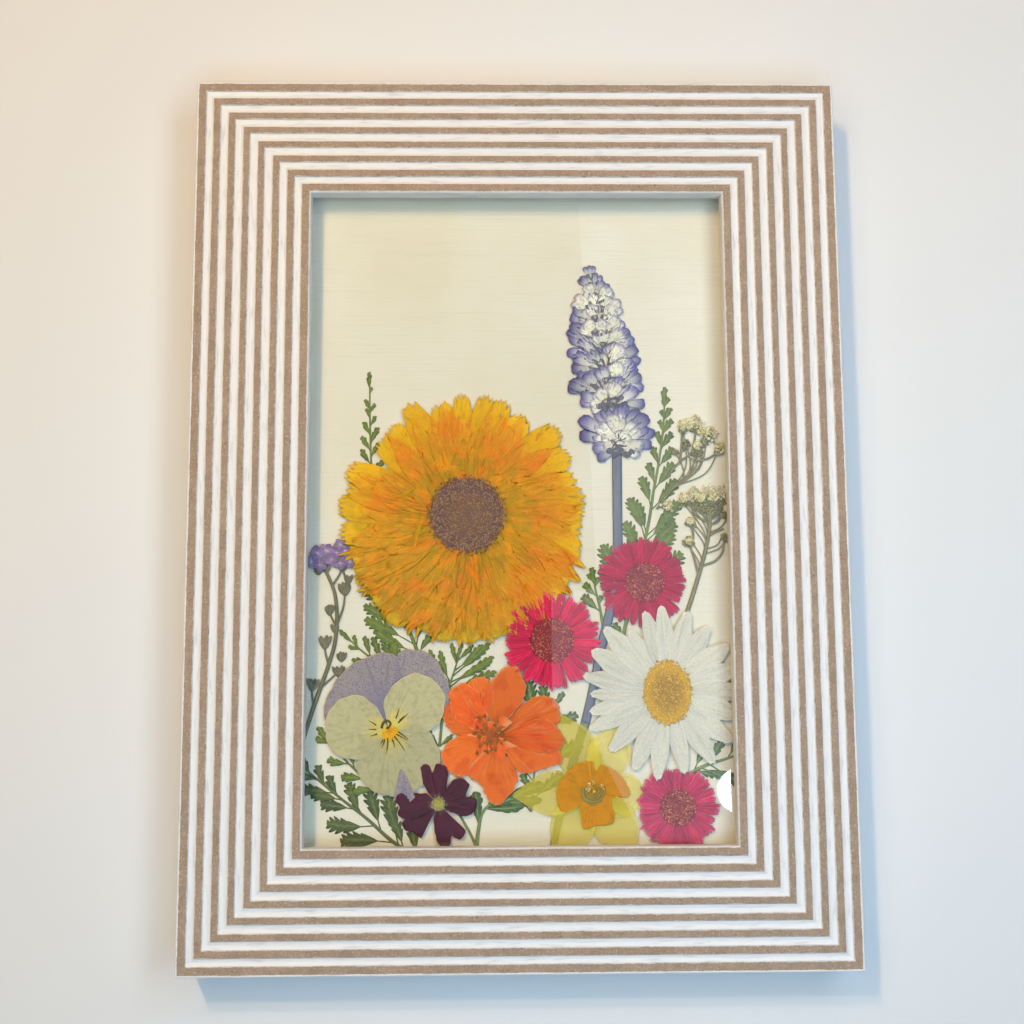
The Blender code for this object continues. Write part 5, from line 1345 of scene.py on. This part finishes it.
# The orange flower: broad silky petals that overlap round many fine stamens. It was pressed open on the
# paper, and the petals dried one over the other with a small ragged one left in the middle.
orange_silk = petal_finish(
    "orange_petal", ((255, 118, 36), (250, 78, 0), (206, 84, 24), (255, 172, 112), (255, 146, 78),
                     (218, 64, 6)), roughness=0.5, relief=0.28, alpha=0.84, rim_width=0.05,
    rim_at_sides=2.0, fibres_across=30.0, fibre_strength=0.65, blotches_per_metre=300.0,
    blotch_strength=0.5, unlike=0.22)
stamen_brown = speckled_finish("orange_stamen", (150, 104, 40), (190, 96, 40), (120, 104, 56))
filament = leaf_finish("orange_filament", (196, 92, 30), (236, 150, 90), (140, 74, 30), (236, 140, 80))
ORANGE_PETALS = (
    ((-7.6, -45), ((-11.6, -40), (-11.1, -37.3), (-9.2, -36.1), (-7, -36.4), (-5.8, -39.5))),
    ((-7.4, -47.2), ((-12.6, -39.6), (-16.2, -42), (-16.6, -45), (-14.2, -48.2), (-9.6, -49))),
    ((-4.6, -48.2), ((-0.6, -43), (0.5, -42), (3.6, -40.2), (7.4, -40.7), (8.8, -43.3), (8.4, -46.4),
                     (5, -49))),
    ((-7, -49.4), ((-11, -48.2), (-14.5, -49.3), (-16.5, -51.4), (-17, -53.6), (-15.4, -56.3),
                     (-12.3, -57.4), (-8.8, -55.6))),
    ((-5.4, -50.2), ((-10.4, -54.6), (-11, -57.3), (-8.3, -59.4), (-7.1, -62.1), (-4.9, -63.6),
                     (-2.1, -61.2), (-0.4, -57.9), (-2.2, -53.6))),
    ((-4.8, -49.6), ((4.6, -48), (8.5, -51.4), (9.2, -54.3), (6, -55.6), (0.7, -56.8), (-1.4, -54))),
    ((-7.2, -46.6), ((-9.6, -47.6), (-13.5, -45.6), (-15, -42.5), (-15.2, -39.1), (-12.3, -37.4),
                     (-9.2, -39.2), (-6.6, -42.6))),
    ((-5.2, -47.2), ((-7.7, -43.4), (-8, -39.5), (-4.8, -35.5), (-1.7, -33.3), (0.3, -35.2), (1.4, -39.5),
                     (-1.4, -44.2))),
    ((-4.8, -48.8), ((-0.6, -46.8), (2.3, -45.5), (6.1, -45.2), (8.5, -47.4), (10, -50.1), (7.9, -51.9),
                     (3.8, -52.2), (-0.6, -50.6))),
    ((-5, -48.6), ((-1.4, -46), (-3.6, -44.4), (-6, -45.8), (-8.6, -44.6), (-10.2, -47.4),
                     (-8.2, -49.3), (-9.4, -52), (-6.2, -51.8), (-4.2, -54.4), (-2.4, -51.4), (-0.4, -51.2))))
rng = np.random.default_rng(600)
sheets = []
for root, outline in ORANGE_PETALS:
    petal = blade(root, outline, rng, creases=11.0, crease=0.006, ruffle=0.01)
    sheets.append(raised(petal, 0.05 * len(sheets)))
lay("orange_petals", "orange_flower", sheets, orange_silk, -0.1, cover=True)
STAMENS = ((-8.9, -44.7), (-7.5, -44.4), (-5, -45.7), (-4.5, -47.1), (-9.2, -46.9), (-8.3, -47.5),
           (-7.3, -48.1), (-8.6, -48.7), (-9.8, -48.1), (-6.4, -48.7), (-4.5, -48.7), (-3.3, -49.7),
           (-5.2, -51.5), (-7, -52.1), (-8.6, -50.9), (-9.2, -52.4), (-3.9, -50.3), (-7.6, -46.3),
           (-6.1, -50))
LOOSE_STAMENS = 26                           # strewn among the ones listed in STAMENS
heads = [*STAMENS]
for _ in range(LOOSE_STAMENS):
    heads.append(tuple(around((-6.9, -48.5), rng.uniform(0.0, 360.0), rng.uniform(1.0, 4.4))))
filaments = []
for head in heads:
    bow = (np.array(head) + (-6.6, -48.6)) / 2 + rng.uniform(-0.3, 0.3, 2)
    filaments.append(stalk(((-6.6, -48.6), bow, head), 12, 0.16, 0.12, 0.08, rng.uniform(), 5))
lay("orange_filaments", "orange_flower", filaments, filament, 0.42, stands_in=False)
grow_clusters("orange_stamens", "orange_flower", [(x, y, 0.42) for x, y in heads], 6, 0.17, 0.1,
              stamen_brown, 4, lift=0.36)

# The viola: two lilac petals behind, two pale side petals and a broad lower one that meet at a small
# orange throat with dark whisker lines.
viola_lilac = petal_finish(
    "viola_lilac", ((172, 158, 158), (134, 126, 146), (124, 122, 156), (192, 176, 172), (116, 102, 136),
                    (108, 94, 130)), relief=0.1, alpha=0.93, throat_reach=0.75, rim_width=0.03,
    fibres_across=34.0, fibre_strength=0.45, blotches_per_metre=3000.0, blotch_strength=0.85, unlike=0.1)
viola_pale = petal_finish(
    "viola_pale", ((196, 184, 142), (172, 162, 122), (234, 208, 88), (226, 218, 180), (156, 152, 110),
                   (166, 160, 112)), relief=0.12, throat_reach=0.42, rim_width=0.03, fibres_across=34.0,
    fibre_strength=0.45, blotches_per_metre=900.0, blotch_strength=0.55, unlike=0.16)
viola_gold = petal_finish(
    "viola_throat", ((238, 172, 20), (232, 146, 8), (220, 130, 8), (240, 206, 60), (206, 120, 6),
                     (240, 188, 40)), throat_reach=0.5, rim_width=0.12, fibres_across=30.0, unlike=0.1)
viola_whisker = leaf_finish("viola_whisker", (92, 74, 44), (130, 108, 62), (62, 50, 36), (84, 68, 42))
THROAT = (-28.4, -47.0)
VIOLA = (
    ("viola_upper_petals", viola_lilac, -0.1, (
        ((-27.4, -38), (-27.8, -33.5), (-26.6, -30.9), (-23.9, -29.9), (-19.5, -31), (-16.9, -34.5),
         (-15.3, -38.2), (-15.6, -41.6), (-18.6, -44.6)),
        ((-38.4, -47.4), (-42.2, -45.1), (-42.1, -41.3), (-40.4, -37.6), (-37.6, -34), (-33.7, -31.8),
         (-29.6, -30.6), (-26.9, -31.4), (-26, -34.6), (-25.4, -38.5)))),
    ("viola_front_petals", viola_pale, 0.12, (((-26.4, -53.2), 8.2, 9), ((-35.8, -46.8), 6.4, 6.9),
                                              ((-22.8, -42), 6.9, 6.4))),
    ("viola_throat", viola_gold, 0.36, (((-28, -48), 1.7, 1.9),)))
rng = np.random.default_rng(700)
for name, finish, lift_up, lobes in VIOLA:
    sheets = []
    for shape in lobes:
        if finish is viola_lilac:
            petal = blade(THROAT, shape, rng, wavy=0.08, rows=30)
        else:
            petal = lobe(THROAT, *shape, rng, wavy=0.02, ruffle=0.07, creases=11.0, round_to=140.0, rows=30,
                         columns=45)
        sheets.append(raised(petal, 0.06 * len(sheets)))
    if finish is viola_lilac:
        spur = blade((-24.6, -63.4), ((-27.2, -61.8), (-26.5, -58.6), (-25.7, -55.7), (-24.0, -58.0),
                                      (-22.6, -61.6)), rng, wavy=0.03)
    lay(name, "viola", sheets, finish, lift_up, cover=True)
lay("viola_spur", "viola", [spur], viola_lilac, 0.3, stands_in=False)
WHISKERS = (
    ((-29.1, -49.2), (-29.9, -51.3)), ((-28.5, -49), (-28.8, -52.4)), ((-27.6, -49.2), (-27, -51.1)),
    ((-27.1, -48.6), (-24.8, -51.8)), ((-26.7, -48.2), (-24.2, -49.6)), ((-26.3, -47.7), (-24, -49.3)),
    ((-31, -46.3), (-32.6, -45.3)), ((-31, -47.2), (-32.7, -47.1)), ((-30.8, -48.1), (-32.3, -48.6)),
    ((-26.8, -44.8), (-26.1, -42.7)), ((-26.3, -45.8), (-24.1, -43.7)), ((-26, -45.3), (-25, -44.2)),
    ((-29.6, -49.3), (-30.1, -50.4)))
sheets = []
for start, end in WHISKERS:
    middle = ((start[0] + end[0]) / 2 + 0.08, (start[1] + end[1]) / 2)
    sheets.append(stalk((start, middle, end), 12, 0.26, 0.08, 0.05, 0.0, 5))
stigma = ((-29.9, -46.9), (-29.5, -45.8), (-28.6, -45.3), (-27.9, -45.9), (-28.2, -46.6))
sheets.append(stalk(stigma, 22, 0.55, 0.4, 0.2, 1.0))
lay("viola_whiskers", "viola", sheets, viola_whisker, 0.46, stands_in=False)

# The purple verbena flower: five notched petals and a small furry yellow-green eye. The tissue is thin,
# and nearly black where it dried over itself.
verbena = petal_finish(
    "purple_petal", ((64, 12, 34), (38, 7, 22), (132, 110, 92), (104, 46, 70), (44, 12, 32), (48, 14, 34)),
    relief=0.14, throat_reach=0.26, rim_width=0.03, fibres_across=20.0, fibre_strength=0.6,
    blotches_per_metre=700.0, blotch_strength=0.8, unlike=0.5)
PURPLE = (-17.6, -63.1)
PURPLE_PETALS = (
    ((-19.9, -60.6), (-21.8, -56.7), (-20.9, -54.8), (-19.6, -54.9), (-18.9, -56.5), (-18.2, -54.8),
     (-16.8, -54.7), (-15.5, -56.2), (-16, -60.2)),
    ((-18.9, -65.9), (-19.2, -68.6), (-21, -70.4), (-22.5, -69.2), (-24.6, -68.6), (-25.2, -66.8),
     (-22, -64.6)),
    ((-15.6, -65), (-12.7, -66.4), (-11.6, -68.6), (-12.9, -70.6), (-14.7, -69.7), (-15, -71.8),
     (-16.5, -72.2), (-17.9, -70.6), (-18.6, -66.3)),
    ((-16.2, -60.6), (-14.6, -58.1), (-12.4, -57.7), (-10.9, -59.2), (-11.7, -61.5), (-9.6, -61.8),
     (-9.4, -64), (-11.6, -65.7), (-14.9, -64.8)),
    ((-19.2, -65.2), (-23.5, -66.4), (-26.2, -65.4), (-25.9, -63.6), (-26.8, -62.4), (-25.6, -60.8),
     (-20, -60.9)))
rng = np.random.default_rng(800)
sheets = []
for outline in PURPLE_PETALS:
    sheets.append(raised(blade(PURPLE, outline, rng, wavy=0.05, ruffle=0.08), 0.035 * len(sheets)))
lay("purple_petals", "purple_flower", sheets, verbena, cover=True)
furry_eye = eye_finish("purple_flower_eye", (
    (0.0, (236, 208, 40)), (0.4, (222, 196, 60)), (0.65, (158, 150, 92)), (1.0, (150, 136, 110))),
    (190, 186, 160), 0.3)
grow_eye("purple_flower_eye", "purple_flower", PURPLE, 1.5, 1.5, 130, 0.1, 0.17, furry_eye, 5, rise=0.28,
         ragged=0.25)

# The white daisy: papery rays with lengthwise pleats round a raised yellow eye. The rays dried flat and
# a little clear, while the eye kept some of its height.
white_paper = petal_finish(
    "white_ray", ((236, 226, 206), (218, 210, 194), (200, 194, 166), (252, 246, 232), (184, 182, 172),
                  (196, 194, 184)), alpha=0.86, relief=0.09, throat_reach=0.25, rim_width=0.07,
    fibres_across=8.0, fibre_strength=0.45, blotches_per_metre=2600.0, blotch_strength=0.5, unlike=0.1)
white_eye = eye_finish("white_daisy_eye", (
    (0.0, (160, 132, 46)), (0.3, (184, 138, 62)), (0.62, (204, 156, 46)), (0.85, (228, 180, 26)),
    (1.0, (214, 160, 16))), (236, 196, 70), 0.2)
DAISY = (32.3, -39.6)
rng = np.random.default_rng(900)
sheets = []
for angle, reach, width in (
        (168.5, 18.9, 4.4), (150.6, 18.9, 5.8), (133.0, 19.8, 5.2), (105.4, 18.5, 4.4), (93.6, 19.1, 4.4),
        (74.5, 18.6, 4.6), (56.0, 17.4, 4.8), (36.0, 17.4, 5.2), (18.0, 16.9, 5.2), (359.0, 16.9, 5.2),
        (341.0, 17.0, 5.2), (323.0, 17.8, 5.0), (302.7, 18.5, 4.6), (281.0, 18.0, 4.0), (262.8, 19.2, 4.2),
        (246.0, 18.5, 4.4), (225.0, 18.1, 4.6), (204.7, 19.1, 4.2), (193.5, 17.7, 4.2), (180.5, 17.0, 3.8),
        (120.0, 16.0, 4.0)):
    petal = ray(around(DAISY, angle, 3.0), around(DAISY, angle, reach), width * 0.95, rng, root=0.4,
                widest=0.66, shoulder=0.6, blunt=0.13, teeth=3, tooth=0.4, creases=5.0, crease=0.06,
                tilt=0.06, rows=30, columns=15)
    low = 0.05 if reach in (17.0, 16.0) else 0.1         # three of them lie under the rest
    sheets.append(raised(petal, low + 0.02 * (len(sheets) % 3)))
lay("white_rays", "white_daisy", sheets, white_paper, -0.05, cover=True)
grow_eye("white_daisy_eye", "white_daisy", DAISY, 5.2, 6.8, 1400, 0.12, 0.24, white_eye, 11, rise=0.26,
         ragged=0.09)

# The marigold, the largest flower. Its rays lie in three tiers round a brown eye of open florets, toothed
# at their tips. The tissue is bright where one ray lies alone and deep orange where several overlap.
MARIGOLD = (-11.6, -0.7)


def marigold_finish():
    """Gold where a ray lies alone, orange and olive where rays overlap, finely wrinkled out from the eye."""
    made, tree, shader = new_finish("yellow_ray", 0.55)
    across, along, pick = xyz(attribute(tree, "sheet", "Vector"))
    cover = attribute(tree, "cover")
    place = object_place(tree)
    x, y, z = xyz(put(tree, "ShaderNodeMapping", {
        "Vector": place, "Location": (-MARIGOLD[0] * MM, -MARIGOLD[1] * MM, 0.0)}))
    flat = vector(x, y)
    out = put(tree, "ShaderNodeVectorMath", {0: flat}, operation="LENGTH")[1]
    facing = xyz(put(tree, "ShaderNodeVectorMath", {0: flat}, operation="NORMALIZE"))

    def streaks(around_count, per_metre, detail):
        lane = vector(facing[0] * around_count, facing[1] * around_count, out * per_metre)
        return noise(lane, 1.0, detail, 0.65, 0.6)

    wrinkle = streaks(17.0, 260.0, 5.0)
    fine = streaks(60.0, 500.0, 3.0)
    covered = ramp(wrinkle * 1.6 + (cover - 0.8), 0.1, 1.7)
    patch = ramp(noise(place, 130.0, 5.0), 0.42, 0.62) * (covered * 0.55 + 0.15)
    lower_left = ramp(x * -0.5 + y * -0.8, -0.002, 0.024)
    old = (ramp(out, 0.024, 0.009) * 0.85).math("MAXIMUM", lower_left * 0.75)
    old = old * ramp(noise(place, 330.0, 5.0), 0.34, 0.6)
    tip = ramp(along, 0.8, 1.0) * (1.0 - covered)
    # The dark brown (150, 92, 6) along the low lines of the wrinkle pattern is painted shade, standing in for
    # the creases' shadow lines; the bump uses the same pattern.
    tone = layered((250, 186, 12), (covered, (226, 144, 6)), (patch, (234, 116, 6)), (old, (172, 134, 8)),
                   (ramp(wrinkle, 0.44, 0.32) * 0.6, (150, 92, 6)),
                   (ramp(fine, 0.52, 0.7) * 0.3, (255, 208, 60)), (tip * 0.5, (255, 210, 50)))
    brightness = (pick - 0.5) * 0.16 + (noise(place, 2600.0, 5.0) * 0.4 + 0.8)
    feed(shader, {"Base Color": shaded(tone, brightness), "Specular IOR Level": 0.3,
                  "Alpha": ramp(cover, 0.2, 1.4, 0.84, 1.0, smooth=False)})
    press(shader, fine * 0.5 + wrinkle, 0.22, 0.9)
    return made


marigold = marigold_finish()
marigold_brown = eye_finish("marigold_eye", (
    (0.0, (150, 112, 76)), (0.5, (136, 98, 72)), (0.72, (116, 84, 86)), (0.9, (120, 84, 76)),
    (1.0, (150, 94, 40))), (172, 138, 98), 0.4)
rng = np.random.default_rng(1000)
sheets = []
RIM_RAYS = (
    (91, 28.2, 4.4), (104, 27.6, 5.4), (117, 28.3, 6), (128.5, 27.6, 5.6), (139.5, 27, 6),
    (157.8, 28.6, 6.4), (165.5, 27.9, 6.2), (175.5, 28.3, 6.6), (187.5, 28.5, 6.6), (198.6, 27.2, 6.4),
    (206.5, 27.5, 6.2), (216.8, 28.7, 6.8), (226.7, 28.4, 6.2), (235.2, 28.9, 6.4), (243.4, 27.7, 6.4),
    (252, 27.6, 6.2), (259.8, 29.5, 6.4), (271, 28.7, 6.6), (281, 28.4, 6.4), (288, 29, 6),
    (297, 27.2, 6.6), (308, 27.2, 6.4), (322.6, 28.2, 6.6), (330.5, 26.6, 6.2), (341.5, 28, 6.6),
    (354.8, 27.4, 6.6), (2, 26.8, 5.8), (9.2, 28.1, 6.4), (19.3, 26.8, 6.4), (30.7, 27, 6.4),
    (42.7, 28.3, 6.6), (60, 27.2, 6), (71.5, 27.2, 5.4), (79.6, 27.6, 4.8))
for angle, reach, width in RIM_RAYS:
    frayed = 195.0 < angle < 345.0
    petal = ray(around(MARIGOLD, angle, 6.0), around(MARIGOLD, angle, reach + rng.uniform(-1.2, 0.9)),
                width * (1.35 if frayed else 1.12), rng, root=0.45, widest=0.75, shoulder=0.72, blunt=0.06,
                teeth=int(rng.integers(3, 6) * (1 + frayed)), tooth=0.9 if frayed else 1.7, creases=5.0,
                crease=0.07, tilt=0.06, rows=18, columns=25)
    sheets.append(raised(petal, 0.03 * rng.uniform()))
UPPER_RAYS = 96
SPIRAL_STEP = 137.508                        # degrees from one ray to the next
for number in range(UPPER_RAYS):
    angle = number * SPIRAL_STEP
    out = 26.4 - 15.0 * (number / UPPER_RAYS) ** 1.1 + rng.uniform(-1.6, 1.0)
    petal = ray(around(MARIGOLD, angle, 6.0), around(MARIGOLD, angle + rng.uniform(-6, 6), out),
                rng.uniform(2.6, 6.4), rng, root=0.5, widest=0.66, shoulder=0.56, blunt=0.12,
                teeth=int(rng.integers(2, 5)), tooth=0.9, bend=0.07, creases=5.0, crease=0.07, tilt=0.06,
                rows=16, columns=11)
    sheets.append(raised(petal, 0.04 + 0.1 * number / UPPER_RAYS))
TORN_TIPS = 70
for _ in range(TORN_TIPS):
    angle = rng.uniform(196.0, 344.0)
    torn = around(MARIGOLD, angle + rng.uniform(-5, 5), rng.uniform(26.2, 29.8))
    petal = ray(around(MARIGOLD, angle, 20.0), torn, rng.uniform(1.2, 3.0), rng, root=0.6, widest=0.5,
                shoulder=0.3, blunt=0.1, teeth=2, tooth=0.8, bend=0.08, creases=3.0, crease=0.07, rows=8,
                columns=7)
    sheets.append(raised(petal, 0.03))
for start, end, width in (((-18.5, 10.1), (-11.8, 9.1), 0.9), ((-20.8, -0.3), (-22.4, -8.6), 1.1),
                          ((-27.1, 3.3), (-22.9, 6.0), 0.8), ((-10.6, -12.0), (-9.2, -17.6), 1.0),
                          ((-3.2, -9.4), (1.6, -13.0), 0.9), ((-1.2, 5.8), (4.8, 7.0), 0.8)):
    flat, lift, pick = ray(start, end, width, rng, root=0.3, widest=0.5, shoulder=0.2, bend=0.1, crease=0.1,
                           creases=2.0)
    sheets.append((flat, lift + 0.3, 1.9))               # a pick past 1 makes these loose shreds paler
lay("marigold_rays", "yellow_flower", sheets, marigold, -0.16, cover=True)
grow_eye("marigold_eye", "yellow_flower", (-11.4, -0.4), 8.3, 8.4, 2900, 0.12, 0.23, marigold_brown, 13,
         rise=0.26, dome=0.06, ragged=0.12)

# The back board. Brown hardboard, 3 mm thick, sawn square. Its back keeps the print of the wire screen it
# was pressed on, and it holds the paper and the flowers against the pane.
def screen_board():
    made, tree, shader = new_finish("screen_backed_hardboard", 0.7)
    place = object_place(tree)
    fibre = put(tree, "ShaderNodeGroup", {
        "Vector": place, "Body": colour(122, 86, 56), "Pale": colour(164, 126, 88),
        "Dark": colour(82, 56, 36), "Flecks per metre": 1400.0}, node_tree=pressed_fibre)
    x, y, z = xyz(place)
    pitch = math.tau / (1.4 * MM)
    screen = (x * pitch).math("SINE") * (y * pitch).math("SINE")
    tone = layered(fibre["Colour"], (screen * 0.12 + 0.12, (70, 48, 32)),
                   (ramp(noise(place, 26.0, 5.0), 0.45, 0.75) * 0.35, (96, 66, 44)))
    feed(shader, {"Base Color": tone})
    press(shader, screen * 0.5 + fibre["Height"], 0.2, 0.8)
    return made


coat("back_board", screen_board())

# Six retaining points. Blued steel strip, cropped to a blunt tip, with a rib pressed along the middle. Each
# is driven into its rail behind the board, and its tip is bent a little away so that a thumb can lift it.
def blued_steel():
    made, tree, shader = new_finish("blued_steel", 0.35)
    sheet = attribute(tree, "sheet", "Vector")
    across, along, pick = xyz(sheet)
    cloud = noise(object_place(tree), 500.0, 4.0)
    scratch = noise(stretched(sheet, 60.0, 3.0, 1.0), 1.0, 5.0)
    worn = (ramp(abs(across * 2.0 - 1.0), 0.86, 1.0) * 0.7).math("MAXIMUM", ramp(scratch, 0.6, 0.72) * 0.6)
    tone = layered((58, 62, 72), (ramp(cloud, 0.4, 0.62), (84, 80, 78)), (worn, (168, 166, 162)))
    feed(shader, {"Base Color": tone, "Roughness": cloud * 0.35 + 0.2, "Metallic": 1.0})
    press(shader, scratch, 0.03, 0.5)
    return made


steel = blued_steel()
for number in range(1, 7):
    name = f"retaining_point_{number}"
    low, high = (np.array(corner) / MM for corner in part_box(name))
    middle = (low + high) / 2
    lengthwise = 0 if high[0] - low[0] > high[1] - low[1] else 1
    inward = np.zeros(2)
    inward[lengthwise] = -math.copysign((high - low)[lengthwise] / 2, middle[lengthwise])
    share = np.linspace(-1.0, 1.0, 33)
    cropped = np.interp(share, (-1.0, 0.45, 0.5, 0.9, 0.97, 1.0), (3.5, 3.5, 3.4, 1.5, 1.1, 0.7))
    flat = band(middle[:2] + share[:, None] * inward, cropped, 17)
    across = np.linspace(-1.0, 1.0, 17)[None, :]
    rib = np.exp(-(across / 0.22) ** 2) * np.clip((0.86 - np.abs(share + 0.02)) / 0.12, 0.0, 1.0)[:, None]
    bent = 0.3 * np.clip(share - 0.55, 0.0, 1.0)[:, None] ** 1.5 + 0.12 * np.abs(across) ** 8
    sheet = (flat, -0.2 * rib - bent, 0.5)
    laid(sheets_mesh(name + "_blade", [sheet], high[2] - 0.02, thickness=0.44), name, steel)
